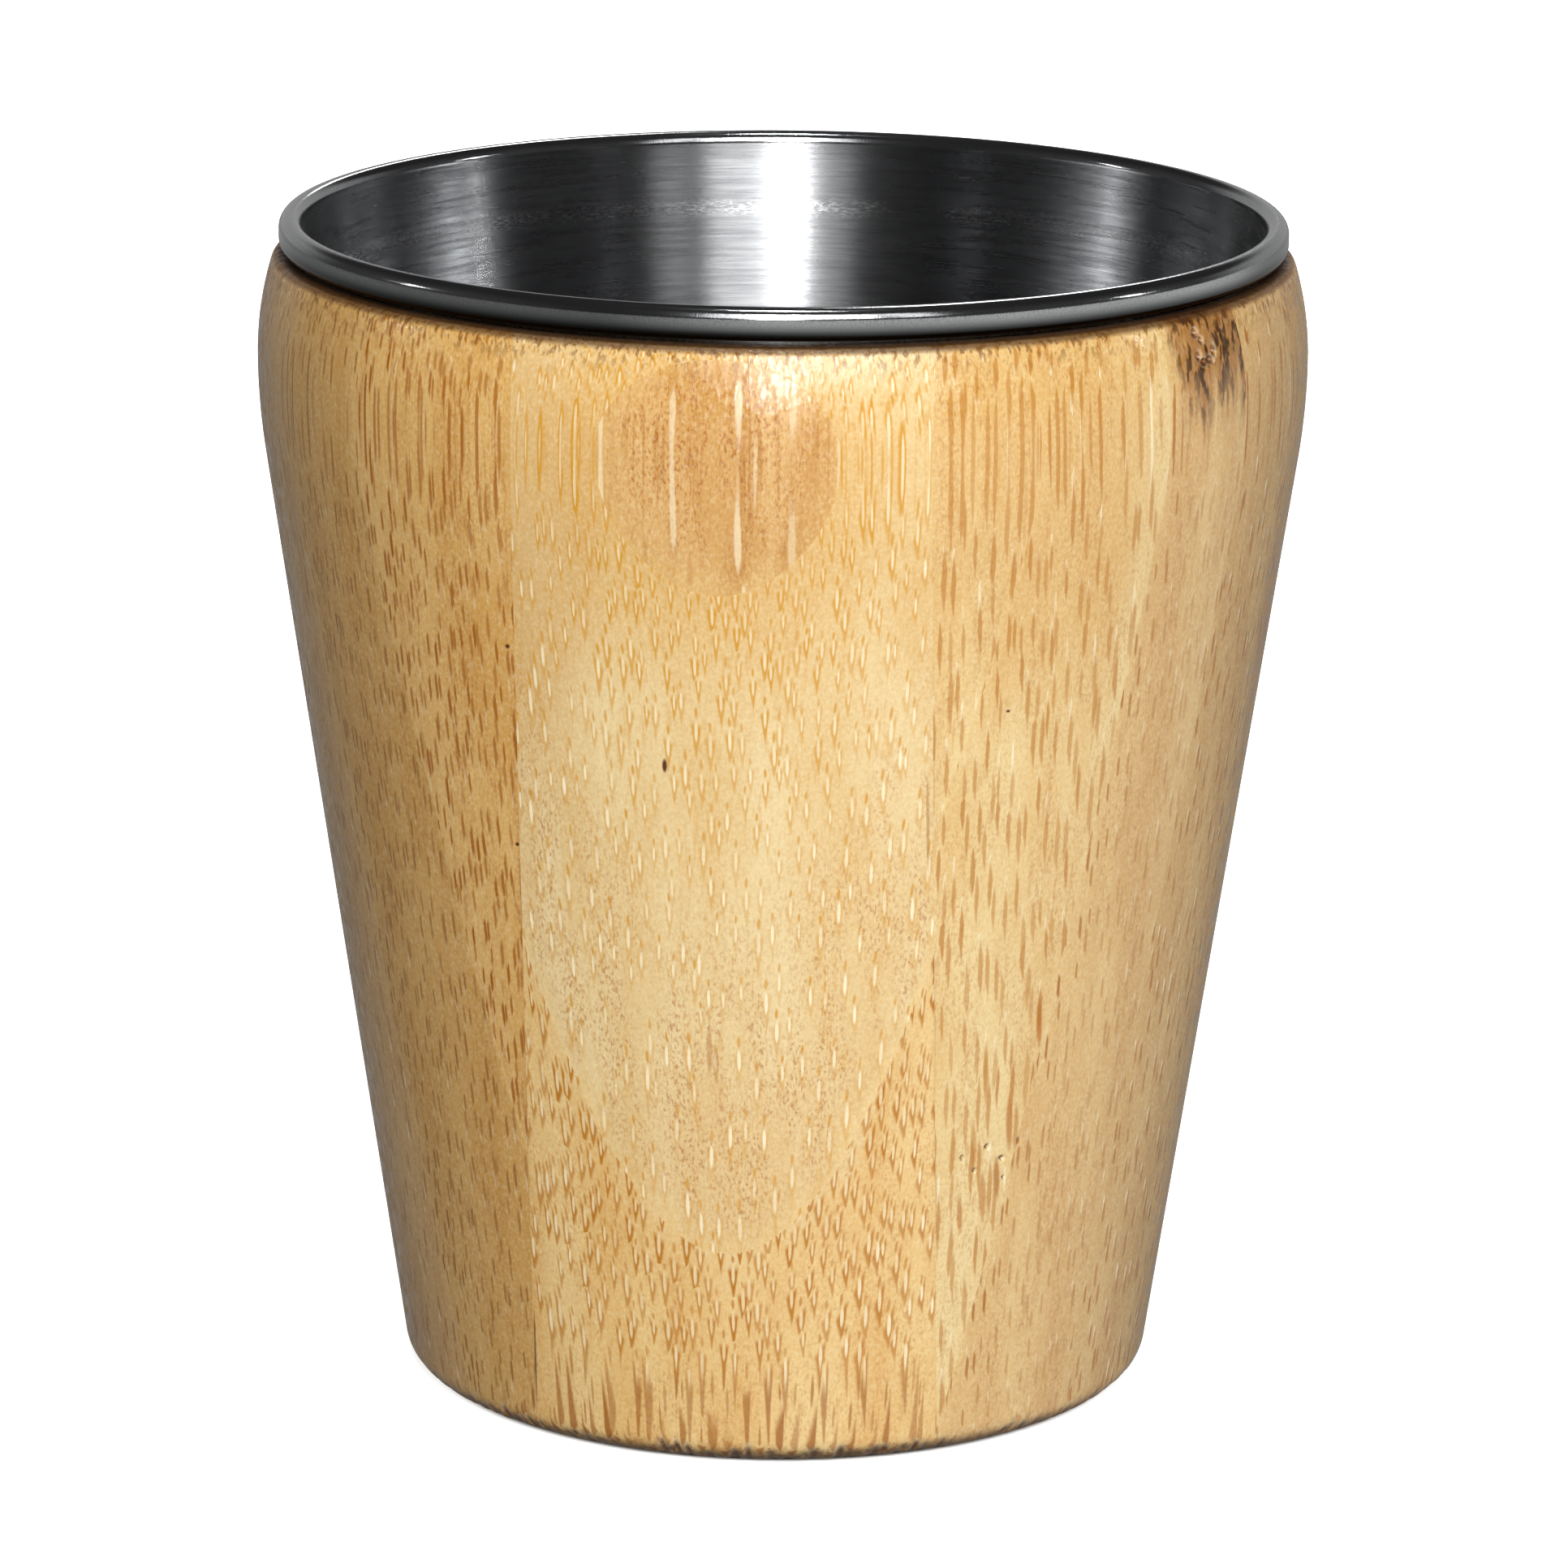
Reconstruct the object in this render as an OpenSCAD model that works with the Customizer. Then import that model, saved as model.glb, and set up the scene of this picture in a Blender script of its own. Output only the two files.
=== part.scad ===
// Tapered cup: a bamboo shell turned from a glued block of strips, with a drawn steel liner.
// Millimetres. Origin at the centre of the base, +Z up, X across the strips, Y through the layers,
// front of the cup at -Y.

/* [Shell] */
// Outer diameter at the widest ring
shell_d = 80; // [78:0.5:90]
// Height from the base to the top land
shell_h = 87.7; // [85:0.1:92]
// Height of the top land above the widest ring
shoulder_h = 7.7; // [5:0.1:10]
// Radius of the long arc that runs up into the widest ring
bulge_round = 50; // [30:1:70]
// Radius of the arc between the widest ring and the top edge
shoulder_round = 24; // [18:1:40]
// Radius of the soft edge between the shoulder and the top land
edge_round = 1; // [0.4:0.1:1.6]
// How far the straight wall draws in from the widest ring by the time it reaches the base
wall_draw = 11.3; // [7:0.1:15]
// Radius of the soft edge between the straight wall and the base
foot_round = 2.6; // [1:0.1:6]
// Thickness of the wall at the foot of the bore
wall_t = 4.4; // [3:0.1:7]
// Thickness of the floor under the bore
floor_t = 7.5; // [4:0.1:14]

/* [Strips] */
// Width of the strips in the centre column
strip_w = 30.6; // [24:0.2:40]
// Number of strips in the centre column
centre_count = 12; // [8:1:16]
// Number of strips in the left column
left_count = 9; // [6:1:14]
// Number of strips in the right column
right_count = 10; // [6:1:14]
// Thickness that turning leaves of the front strip in the centre column
centre_front_t = 1.0; // [0.8:0.1:7]
// Thickness that turning leaves of the front strip in the left column
left_front_t = 8.56; // [2:0.02:10]
// Thickness that turning leaves of the front strip in the right column
right_front_t = 4.06; // [2:0.02:10]
// Thickness that turning leaves of the back strip in the centre column
centre_back_t = 2.0; // [0.8:0.1:7]
// Thickness that turning leaves of the back strip in the left column
left_back_t = 4.46; // [2:0.02:10]
// Thickness that turning leaves of the back strip in the right column
right_back_t = 4.26; // [2:0.02:10]

/* [Liner] */
// How far the rolled lip stands in from the widest ring
lip_inset = 1.65; // [1.5:0.05:3]
// Width of the rolled lip
lip_w = 1.8; // [1.4:0.1:2.4]
// Height of the rolled lip
lip_h = 2.5; // [2.4:0.1:4]
// Thickness of the steel sheet
sheet_t = 0.5; // [0.3:0.05:0.6]
// Inside radius of the corner between wall and floor
liner_corner = 5; // [2:0.5:10]
// Play between the liner and the bamboo, at the wall, the floor and the lip
liner_gap = 0.3; // [0.2:0.05:0.5]

/* [Hidden] */
$fn = 360;

// How far a cutting shape runs past the face it cuts
overrun = 1;

// Outer form: a straight wall from the base that meets the bulge arc without a kink
shell_r = shell_d / 2;
cone_r = shell_r - wall_draw;
bulge_h = shell_h - shoulder_h;
bulge_c = [shell_r - bulge_round, bulge_h];
wall_base = [cone_r, 0];
bulge_reach = norm(bulge_c - wall_base);
wall_lean = atan2(bulge_c.x - cone_r, bulge_h) + asin(bulge_round / bulge_reach);
wall_run = sqrt(bulge_reach ^ 2 - bulge_round ^ 2);
wall_top = wall_base + wall_run * [sin(wall_lean), cos(wall_lean)];

// Shoulder arc, and the soft edge that rolls inside it on to the top land
shoulder_c = [shell_r - shoulder_round, bulge_h];
edge_swing = shoulder_round - edge_round;
edge_z = shell_h - edge_round;
edge_c = [shoulder_c.x + sqrt(edge_swing ^ 2 - (edge_z - bulge_h) ^ 2), edge_z];
edge_start = shoulder_c + (edge_c - shoulder_c) * shoulder_round / edge_swing;

// Rolled lip: its bottom stands one gap above the top land
lip_r = shell_r - lip_inset;
roll_r = lip_w / 2;
roll_x = lip_r - roll_r;
lip_low_z = shell_h + liner_gap;
roll_low_z = lip_low_z + roll_r;
roll_top_z = lip_low_z + lip_h - roll_r;

// Bore, from the foot of the wall to the play outside the sheet under the lip
bore_foot_r = cone_r + floor_t * tan(wall_lean) - wall_t;
bore_top_r = lip_r - lip_w + sheet_t + liner_gap;
bore_lean = atan2(bore_top_r - bore_foot_r, roll_top_z - floor_t);
bore_corner = liner_corner + sheet_t;

// Liner: the bore's form drawn in by the gap, then by the sheet
liner_z = floor_t + liner_gap;
liner_foot_r = bore_foot_r + liner_gap * tan(bore_lean) - liner_gap;
inside_z = liner_z + sheet_t;
inside_foot_r = liner_foot_r + sheet_t * tan(bore_lean) - sheet_t;

// Columns of strips: name, left edge, right edge, reach from the axis, number of strips,
// thickness left of the front strip, thickness left of the back strip
seam_x = strip_w / 2;
side_reach = sqrt(shell_r ^ 2 - seam_x ^ 2);
block_x = shell_r + overrun;
COLUMNS = [
    ["centre", -seam_x, seam_x, shell_r, centre_count, centre_front_t, centre_back_t],
    ["left", -block_x, -seam_x, side_reach, left_count, left_front_t, left_back_t],
    ["right", seam_x, block_x, side_reach, right_count, right_front_t, right_back_t],
];
function title(column) = column[0];
function left_x(column) = column[1];
function right_x(column) = column[2];
function reach(column) = column[3];
function count(column) = column[4];
function front_t(column) = column[5];
function back_t(column) = column[6];

// Layers are numbered from front to back
function layers(column) = [1 : count(column)];
function strip_name(column, layer) = str(title(column), "_strip_", layer);

// The strips between the outermost two share the rest of the column's depth
function thickness(column) =
    (2 * reach(column) - front_t(column) - back_t(column)) / (count(column) - 2);

// A strip lies between two glue lines; the outermost ones run out past the shell
function glue_y(column, layer) = front_t(column) - reach(column) + (layer - 1) * thickness(column);
function front_y(column, layer) =
    layer == 1 ? -reach(column) - overrun : glue_y(column, layer - 1);
function back_y(column, layer) =
    layer == count(column) ? reach(column) + overrun : glue_y(column, layer);

STRIP_NODES = [
    for (column = COLUMNS)
        for (layer = layers(column))
            strip_name(column, layer)
];

// Tones of the strips, taken in turn
BAMBOO = ["#d9b072", "#cfa260", "#e0bd84"];

// Half section of a leaning wall with a round foot, filled in to the axis
module leaning_form(foot_r, lean, low_z, high_z, corner) {
    corner_x = foot_r + corner * tan(lean) - corner / cos(lean);
    polygon([
        [0, low_z],
        [corner_x, low_z],
        [corner_x + corner * cos(lean), low_z + corner * (1 - sin(lean))],
        [foot_r + (high_z - low_z) * tan(lean), high_z],
        [0, high_z],
    ]);
    translate([corner_x, low_z + corner])
        circle(corner);
}

// The slice of a round between two heights, out to the block's side
module round_band(centre, radius, low_z, high_z) {
    intersection() {
        translate(centre)
            circle(radius);
        translate([0, low_z])
            square([block_x, high_z - low_z]);
    }
}

// Half section of the shell before it is bored
module shell_outline() {
    leaning_form(cone_r, wall_lean, 0, wall_top.y, foot_round);
    round_band(bulge_c, bulge_round, wall_top.y, bulge_h);
    round_band(shoulder_c, shoulder_round, bulge_h, edge_start.y);
    round_band(edge_c, edge_round, edge_start.y, shell_h);
    translate([0, edge_start.y])
        square([edge_c.x, shell_h - edge_start.y]);
}

// The whole turned and bored shell, from which each strip is one slice
module turned_shell() {
    rotate_extrude()
        difference() {
            shell_outline();
            leaning_form(bore_foot_r, bore_lean, floor_t, shell_h + overrun, bore_corner);
        }
}

// One strip of a column, between its glue lines
module bamboo_strip(column, layer) {
    low_y = front_y(column, layer);
    high_y = back_y(column, layer);
    color(BAMBOO[layer % len(BAMBOO)])
        intersection() {
            turned_shell();
            translate([left_x(column), low_y, -overrun])
                cube([right_x(column) - left_x(column), high_y - low_y, shell_h + 2 * overrun]);
        }
}

// Section of the sheet bent round a roll
module roll_ring(z) {
    translate([roll_x, z])
        difference() {
            circle(roll_r);
            circle(roll_r - sheet_t);
        }
}

// Section of the lip: over the top, down the outside and tucked under to the middle of the roll
module lip_section() {
    intersection() {
        roll_ring(roll_top_z);
        translate([roll_x - roll_r, roll_top_z])
            square([lip_w, roll_r]);
    }
    translate([lip_r - sheet_t, roll_low_z])
        square([sheet_t, roll_top_z - roll_low_z]);
    intersection() {
        roll_ring(roll_low_z);
        translate([roll_x, lip_low_z])
            square([roll_r, roll_r]);
    }
}

// Drawn steel liner with its rolled lip
module steel_liner() {
    color("#b9bbbd")
        rotate_extrude() {
            difference() {
                leaning_form(liner_foot_r, bore_lean, liner_z, roll_top_z, bore_corner);
                leaning_form(inside_foot_r, bore_lean, inside_z, roll_top_z + overrun, liner_corner);
            }
            lip_section();
        }
}

steel_liner();
for (column = COLUMNS)
    for (layer = layers(column))
        bamboo_strip(column, layer);
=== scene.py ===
"""A bamboo cup with a lift-out steel liner, dressed for a plain studio picture.

Metres, in the frame of the construction: origin at the centre of the base, +Z up, X across the strips, Y through
their layers, front at -Y. The finishes work in millimetres, on Object coordinates.
"""
import logging
import math
from dataclasses import dataclass, replace
from enum import Enum
from typing import Any, ClassVar, NamedTuple, Optional, Sequence, Union

import bmesh
import bpy
import numpy as np
from mathutils import Matrix, Vector


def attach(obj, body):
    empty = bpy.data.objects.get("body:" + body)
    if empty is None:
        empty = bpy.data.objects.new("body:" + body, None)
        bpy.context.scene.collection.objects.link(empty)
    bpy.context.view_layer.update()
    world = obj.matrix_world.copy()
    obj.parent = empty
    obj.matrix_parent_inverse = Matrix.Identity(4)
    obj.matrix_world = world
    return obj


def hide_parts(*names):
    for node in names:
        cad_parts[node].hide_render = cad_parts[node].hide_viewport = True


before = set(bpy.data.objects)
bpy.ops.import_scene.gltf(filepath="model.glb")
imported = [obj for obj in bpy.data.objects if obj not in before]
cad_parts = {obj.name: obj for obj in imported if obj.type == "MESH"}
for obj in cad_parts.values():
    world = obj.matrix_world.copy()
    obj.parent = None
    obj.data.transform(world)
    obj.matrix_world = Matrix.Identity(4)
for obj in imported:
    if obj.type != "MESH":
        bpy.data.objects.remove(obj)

LOG = logging.getLogger("bamboo_cup")
MM = 0.001

# The middle of a noise's range
MIDDLE = 0.5

Number = Union["Signal", float]
Colour = Union["Signal", tuple]
Step = tuple[float, float]


def tone(code: str) -> tuple:
    """Turns a screen colour into the linear colour that nodes take, by the standard screen curve.

    Args:
        code: six hexadecimal digits, red first.

    Returns:
        Red, green, blue and a full alpha, each from 0 to 1.
    """
    screen = np.array([int(code[i:i + 2], 16) for i in (0, 2, 4)]) / 255
    linear = np.where(screen <= 0.04045, screen / 12.92, ((screen + 0.055) / 1.055) ** 2.4)
    return (*linear.tolist(), 1.0)


class Signal:
    """A number on a node's socket, which Python's operators extend with Math nodes."""

    def __init__(self, paint: "Paint", socket: bpy.types.NodeSocket) -> None:
        """Keeps the socket and the paint that it belongs to."""
        self.paint = paint
        self.socket = socket

    def __add__(self, other: Number) -> "Signal":
        """This value plus another."""
        return self.paint.math("ADD", self, other)

    def __radd__(self, other: Number) -> "Signal":
        """Another value plus this one."""
        return self.paint.math("ADD", other, self)

    def __sub__(self, other: Number) -> "Signal":
        """This value less another."""
        return self.paint.math("SUBTRACT", self, other)

    def __rsub__(self, other: Number) -> "Signal":
        """Another value less this one."""
        return self.paint.math("SUBTRACT", other, self)

    def __mul__(self, other: Number) -> "Signal":
        """This value times another."""
        return self.paint.math("MULTIPLY", self, other)

    def __rmul__(self, other: Number) -> "Signal":
        """Another value times this one."""
        return self.paint.math("MULTIPLY", other, self)

    def __truediv__(self, other: Number) -> "Signal":
        """This value over another."""
        return self.paint.math("DIVIDE", self, other)

    def __pow__(self, other: Number) -> "Signal":
        """This value to a power."""
        return self.paint.math("POWER", self, other)

    def __abs__(self) -> "Signal":
        """This value without its sign."""
        return self.paint.math("ABSOLUTE", self)


class Grain(NamedTuple):
    """A kind of noise: its waves along X, Y and Z, what it adds to a seed, its detail, and the step that cuts it."""

    x: float
    y: float
    z: float
    shift: float = 0.0
    detail: float = 2.0
    low: float = 0.0
    high: float = 1.0


class Coat(NamedTuple):
    """A tone that is laid over others: the values at which it sets in and is full, and its strength."""

    low: float
    high: float
    strength: float


class Paint:
    """The nodes of one material or of the world, with the way that a seed moves a noise and the noise's roughness."""

    way: ClassVar[tuple] = (1.0, 1.7, 0.6)
    noise_roughness: ClassVar[float] = 0.55

    def __init__(self, owner: Union[bpy.types.Material, bpy.types.World]) -> None:
        """Starts with an empty node tree.

        Args:
            owner: what the nodes belong to.
        """
        owner.use_nodes = True
        self.owner = owner
        self.tree = owner.node_tree
        self.tree.nodes.clear()

    def node(self, kind: str, settings: Optional[dict[str, Any]] = None,
             inputs: Optional[dict[str, Any]] = None) -> bpy.types.Node:
        """Adds a node of any kind.

        Args:
            kind: the node's type.
            settings: its properties, set before its sockets.
            inputs: values or links, by the socket's identifier or name.

        Returns:
            The new node.
        """
        made = self.tree.nodes.new(kind)
        for name, value in (settings or {}).items():
            setattr(made, name, value)
        for name, value in (inputs or {}).items():
            socket = next((s for s in made.inputs if s.identifier == name), None) or made.inputs[name]
            if isinstance(value, Signal):
                self.tree.links.new(value.socket, socket)
            else:
                socket.default_value = value
        return made

    def out(self, made: bpy.types.Node, name: Union[str, int] = 0) -> Signal:
        """One output of a node, as a value."""
        return Signal(self, made.outputs[name])

    def math(self, operation: str, first: Number, second: Number = 0.0) -> Signal:
        """One Math node on one or two values."""
        return self.out(self.node("ShaderNodeMath", {"operation": operation}, {"Value": first, "Value_001": second}))

    def clamp(self, value: Signal) -> Signal:
        """A value held between 0 and 1."""
        return self.math("MAXIMUM", self.math("MINIMUM", value, 1.0), 0.0)

    def nearest(self, value: Signal, first: float, second: float) -> Signal:
        """How far a value is from the nearer of two others."""
        return self.math("MINIMUM", abs(value - first), abs(value - second))

    def from_axis(self, x: Signal, y: Signal) -> Signal:
        """Distance from the cup's axis: the root of the sum of the squares."""
        return self.math("SQRT", x ** 2 + y ** 2)

    def smooth(self, value: Number, low: float, high: float) -> Signal:
        """A soft step, either way round.

        Args:
            value: what is stepped.
            low: where the step is 0.
            high: where it is 1.

        Returns:
            A value from 0 to 1.
        """
        made = self.node("ShaderNodeMapRange", {"interpolation_type": "SMOOTHSTEP"},
                         {"Value": value, "From Min": low, "From Max": high})
        return self.out(made)

    def coat(self, value: Number, coat: Coat) -> Signal:
        """How much of a coat there is at a value."""
        return self.smooth(value, coat.low, coat.high) * coat.strength

    def between(self, share: Signal, low: float, high: float) -> Signal:
        """A value that goes from low to high as share goes from 0 to 1."""
        return share * (high - low) + low

    def mix(self, share: Number, first: Colour, second: Colour) -> Signal:
        """Mixes two colours.

        Args:
            share: how much of the second colour there is, from 0 to 1.
            first: the colour at 0.
            second: the colour at 1.

        Returns:
            The mixed colour.
        """
        made = self.node("ShaderNodeMix", {"data_type": "RGBA"},
                         {"Factor_Float": share, "A_Color": first, "B_Color": second})
        return Signal(self, next(s for s in made.outputs if s.identifier == "Result_Color"))

    def over(self, colour: Colour, code: str, share: Number) -> Signal:
        """A colour with a tone laid over it by a share."""
        return self.mix(share, colour, tone(code))

    def split(self, vector: Signal) -> tuple[Signal, Signal, Signal]:
        """The three numbers of a vector or colour."""
        made = self.node("ShaderNodeSeparateXYZ", inputs={"Vector": vector})
        return self.out(made, 0), self.out(made, 1), self.out(made, 2)

    def join(self, x: Number, y: Number, z: Number) -> Signal:
        """A vector from three numbers."""
        return self.out(self.node("ShaderNodeCombineXYZ", inputs={"X": x, "Y": y, "Z": z}))

    def coordinates(self, output: str = "Object") -> Signal:
        """One kind of coordinates."""
        return self.out(self.node("ShaderNodeTexCoord"), output)

    def millimetres(self) -> Signal:
        """The place on a piece in millimetres."""
        made = self.node("ShaderNodeVectorMath", {"operation": "SCALE"},
                         {"Vector": self.coordinates(), "Scale": 1 / MM})
        return self.out(made, "Vector")

    def noise(self, place: Signal, grain: Grain, seed: float = 0.0, output: Union[str, int] = 0) -> Signal:
        """Soft noise.

        Args:
            place: where it is read, which the grain's waves stretch.
            grain: the kind of noise.
            seed: moves the noise, so that no two strips are alike.
            output: the noise node's output.

        Returns:
            A value about the middle of 0 and 1, or three of them as a colour.
        """
        shift = seed + grain.shift
        mapped = self.node("ShaderNodeMapping", {"vector_type": "POINT"}, {
            "Vector": place, "Scale": (grain.x, grain.y, grain.z), "Location": [shift * part for part in self.way]})
        made = self.node("ShaderNodeTexNoise", {"noise_dimensions": "3D"}, {
            "Vector": self.out(mapped), "Scale": 1.0, "Detail": grain.detail, "Roughness": self.noise_roughness})
        return self.out(made, output)

    def flecks(self, place: Signal, grain: Grain, seed: float = 0.0) -> Signal:
        """Noise that is cut by its grain's soft step."""
        return self.smooth(self.noise(place, grain, seed), grain.low, grain.high)

    def bump(self, height: Signal, strength: float, relief: float) -> Signal:
        """The normal that a height gives, for a relief in millimetres."""
        made = self.node("ShaderNodeBump", inputs={"Strength": strength, "Distance": relief * MM, "Height": height})
        return self.out(made)

    def finished(self, inputs: dict[str, Any]) -> bpy.types.Material:
        """Ends a material with its shader.

        Args:
            inputs: values or links of the shader's sockets.

        Returns:
            The material.
        """
        shader = self.node("ShaderNodeBsdfPrincipled", inputs=inputs)
        self.node("ShaderNodeOutputMaterial", inputs={"Surface": self.out(shader)})
        return self.owner


class Bark(Enum):
    """The face of a strip that was nearest the bark, where the fibre bundles are small and close."""

    FRONT = 1
    BACK = -1


class Cut(Enum):
    """How a fibre bundle shows where the wall cuts it: as a drop with a pale core, or as a plain spindle."""

    DROP = 1
    SPINDLE = 2

    @property
    def disorder(self) -> float:
        """How far the bundles stray from their grid, as a share of a cell."""
        return 0.66 if self is Cut.DROP else 0.95


@dataclass(frozen=True)
class Knot:
    """A place where a strip crosses a joint of the cane: its bundles swirl and its tone darkens.

    Half is half the band's height, stray is how far the bundles swirl across and in depth, and ragged is how far the
    fringe moves the band's edge, as a share of half, and its front.
    """

    height: float
    half: float
    stray: tuple[float, float] = (3.0, 2.4)
    ragged: tuple[float, float] = (1.2, 4.0)
    edge: Step = (1.0, 0.35)
    sets_in: Step = (0.2, 2.4)
    brown: float = 0.68
    scorched: float = 0.9


@dataclass(frozen=True)
class Mark:
    """A speck or a soft patch on the turned face: place across and up, half sizes, strength and tone."""

    x: float
    height: float
    half_x: float
    half_z: float
    strength: float = 1.0
    code: str = "5a2f10"
    edge: ClassVar[Step] = (1.3, 0.2)


@dataclass(frozen=True)
class BambooFinish:
    """Varnished bamboo of one strip, in millimetres.

    Every fibre bundle is a thin rod along Z, so its section in X and Y gives the dashes on the leaning wall, the long
    streaks on the bulge and the dots on the end grain, all from one cell pattern.
    """

    front: float
    back: float
    left: float
    right: float
    bark: Bark
    seed: float
    front_straw: Optional[str] = None
    back_straw: Optional[str] = None
    straw: str = "e9cb93"
    shade: str = "dcb67a"
    sheath: str = "cf8f42"
    core: str = "fcf0cc"
    rind: str = "dbb372"
    brown: str = "a4560c"
    glue: str = "7a4418"
    end: str = "4e2c0a"
    # The top land's tone, darker than its end grain: painted shade where the lip overhangs it
    land: str = "3a2008"
    scorch: str = "3c1e00"
    knot_brown: str = "935608"
    foot: str = "a05c08"
    torn: str = "7c480f"
    sheath_strength: float = 0.8
    core_strength: float = 0.75
    cap: float = 0.75
    fade: float = 0.5
    fade_by: float = 0.35
    rind_strength: float = 0.3
    speckle: float = 0.35
    speckle_from: float = 0.0
    lines: float = 0.15
    across: float = 0.85
    bark_gap: float = 0.6
    pith_gap: float = 1.3
    bundle: float = 0.75
    tall: float = 1.0
    growth: float = 0.3
    cut: Cut = Cut.DROP
    settle: float = 0.0
    settle_below: float = 8.5
    knot: Optional[Knot] = None
    patches: tuple[Mark, ...] = ()
    marks: tuple[Mark, ...] = ()

    # Kinds of noise, in waves per millimetre
    DRIFT: ClassVar[Grain] = Grain(0.05, 0.05, 0.045)
    FRINGE: ClassVar[Grain] = Grain(0.9, 0.9, 0.1, 29, 3.0)
    SWIRL: ClassVar[Grain] = Grain(0.22, 0.22, 0.3, 9)
    FIBRE: ClassVar[Grain] = Grain(9.0, 9.0, 0.35, 0, 3.0)
    MOTTLE: ClassVar[Grain] = Grain(0.22, 0.22, 0.035, 3, 3.0, 0.32, 0.7)
    DOTS: ClassVar[Grain] = Grain(5.5, 5.5, 2.4, 5, 2.0, 0.48, 0.68)
    PATCH: ClassVar[Grain] = Grain(0.5, 0.5, 0.06, 7)
    GRIT: ClassVar[Grain] = Grain(4.4, 4.4, 3.2, 13)
    STREAKS: ClassVar[Grain] = Grain(2.4, 2.4, 0.03, 37, 3.0, 0.52, 0.66)
    SCORCHED: ClassVar[Grain] = Grain(1.7, 1.7, 0.5, 11, 2.0, 0.48, 0.6)
    SCRAPS: ClassVar[Grain] = Grain(2.2, 2.2, 0.5, 23, 3.0, 0.5, 0.62)
    PORES: ClassVar[Grain] = Grain(2.4, 2.4, 1.0, 41, 2.0, 0.52, 0.62)
    RIPPLE: ClassVar[Grain] = Grain(1.6, 1.6, 1.1, 19, 1.0)
    RIDGES: ClassVar[Grain] = Grain(1.5, 1.5, 0.4, 31, 1.0)

    # How far the bundles drift across and in depth, and over what height they settle at the foot
    DRIFT_BY: ClassVar[tuple[float, float]] = (0.9, 0.5)
    SETTLE_OVER: ClassVar[float] = 3.0

    # The least that the rows of bundles open, how the seed moves the bundles across, and the depth they fade from
    LEAST_OPEN: ClassVar[float] = 0.05
    SEED_ACROSS: ClassVar[float] = 1.3
    FADE_FROM: ClassVar[float] = 0.04

    # Ranges by luck of a bundle's size, its sheath and its core, the core's range by depth, and how it hides a sheath
    SIZES: ClassVar[Step] = (0.78, 1.23)
    SHEATHS: ClassVar[Step] = (0.6, 1.0)
    CORES: ClassVar[Step] = (0.5, 1.0)
    CORES_BY_DEPTH: ClassVar[Step] = (0.55, 1.0)
    CORE_HIDES: ClassVar[float] = 0.85

    # The ground: how far dots and patches move the edge of a neighbour's tone, that edge, the rind's depth, which
    # patches hold streaks and dots, how dots set in with depth and keep from the faces, and its fibres and grit
    RAGGED: ClassVar[tuple[float, float]] = (1.6, 1.2)
    RUN_EDGE: ClassVar[Step] = (0.25, -0.25)
    RIND_DEPTH: ClassVar[Step] = (0.25, 0.0)
    STREAK_PATCH: ClassVar[Step] = (0.35, 0.6)
    DOT_PATCH: ClassVar[Step] = (0.3, 0.6)
    DOT_DEPTH: ClassVar[Step] = (-0.1, 0.25)
    DOT_CLEAR: ClassVar[Step] = (0.0, 0.5)
    FIBRE_FROM: ClassVar[float] = 0.38
    FIBRE_SHADE: ClassVar[float] = 0.5
    GRIT_DARK: ClassVar[float] = 0.7
    GRIT_PALE: ClassVar[float] = 0.9

    # Coats: glue by the distance from a seam, rims and pits by the depth of a dent, foot and base edge by height, and
    # pores, end grain and land by how far the face looks up; the dark base edge and land are painted shade
    GLUE: ClassVar[Coat] = Coat(0.14, 0.02, 0.35)
    GLUE_PATCH: ClassVar[Step] = (0.5, 0.66)
    RIM: ClassVar[Coat] = Coat(0.03, 0.15, 0.22)
    RIM_ENDS: ClassVar[Step] = (0.5, 0.25)
    PIT: ClassVar[Coat] = Coat(0.3, 0.8, 0.7)
    SCRAPPY_FOOT: ClassVar[Coat] = Coat(2.2, 0.3, 0.6)
    BASE_EDGE_SHADE: ClassVar[Coat] = Coat(0.4, 0.05, 0.35)
    SHOULDER: ClassVar[Coat] = Coat(0.2, 0.32, 0.7)
    END_GRAIN: ClassVar[Coat] = Coat(0.35, 0.8, 0.82)
    LAND_SHADE: ClassVar[Coat] = Coat(0.85, 0.98, 0.75)

    # Half sizes across and in depth of a bundle's parts, how far core and cap stand towards the bark, and soft edges
    SPINDLE: ClassVar[tuple[float, float]] = (0.18, 0.3)
    SPINDLE_CORE: ClassVar[tuple[float, float]] = (0.08, 0.16)
    SPINDLE_CORE_UP: ClassVar[float] = 0.3
    SPINDLE_EDGE: ClassVar[Step] = (1.15, 0.65)
    DROP_HALF: ClassVar[float] = 0.26
    DROP_TAPER: ClassVar[float] = 0.95
    DROP_EDGE: ClassVar[Step] = (0.07, -0.07)
    DROP_START: ClassVar[Step] = (-0.1, -0.02)
    DROP_CORE: ClassVar[tuple[float, float]] = (0.1, 0.095)
    CAP: ClassVar[tuple[float, float]] = (0.1, 0.05)
    CAP_UP: ClassVar[float] = 0.17
    CAP_EDGE: ClassVar[Step] = (1.5, 0.3)
    CORE_EDGE: ClassVar[Step] = (1.5, 0.4)

    # Gloss, and the relief of the varnish
    SPECULAR: ClassVar[float] = 0.6
    BUMP: ClassVar[float] = 0.6
    RELIEF: ClassVar[float] = 0.08

    @property
    def thickness(self) -> float:
        """Thickness of the strip before turning."""
        return self.back - self.front

    def depth(self, y: Signal) -> Signal:
        """Distance from the bark face."""
        return (y - self.front) if self.bark is Bark.FRONT else (self.back - y)

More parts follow.
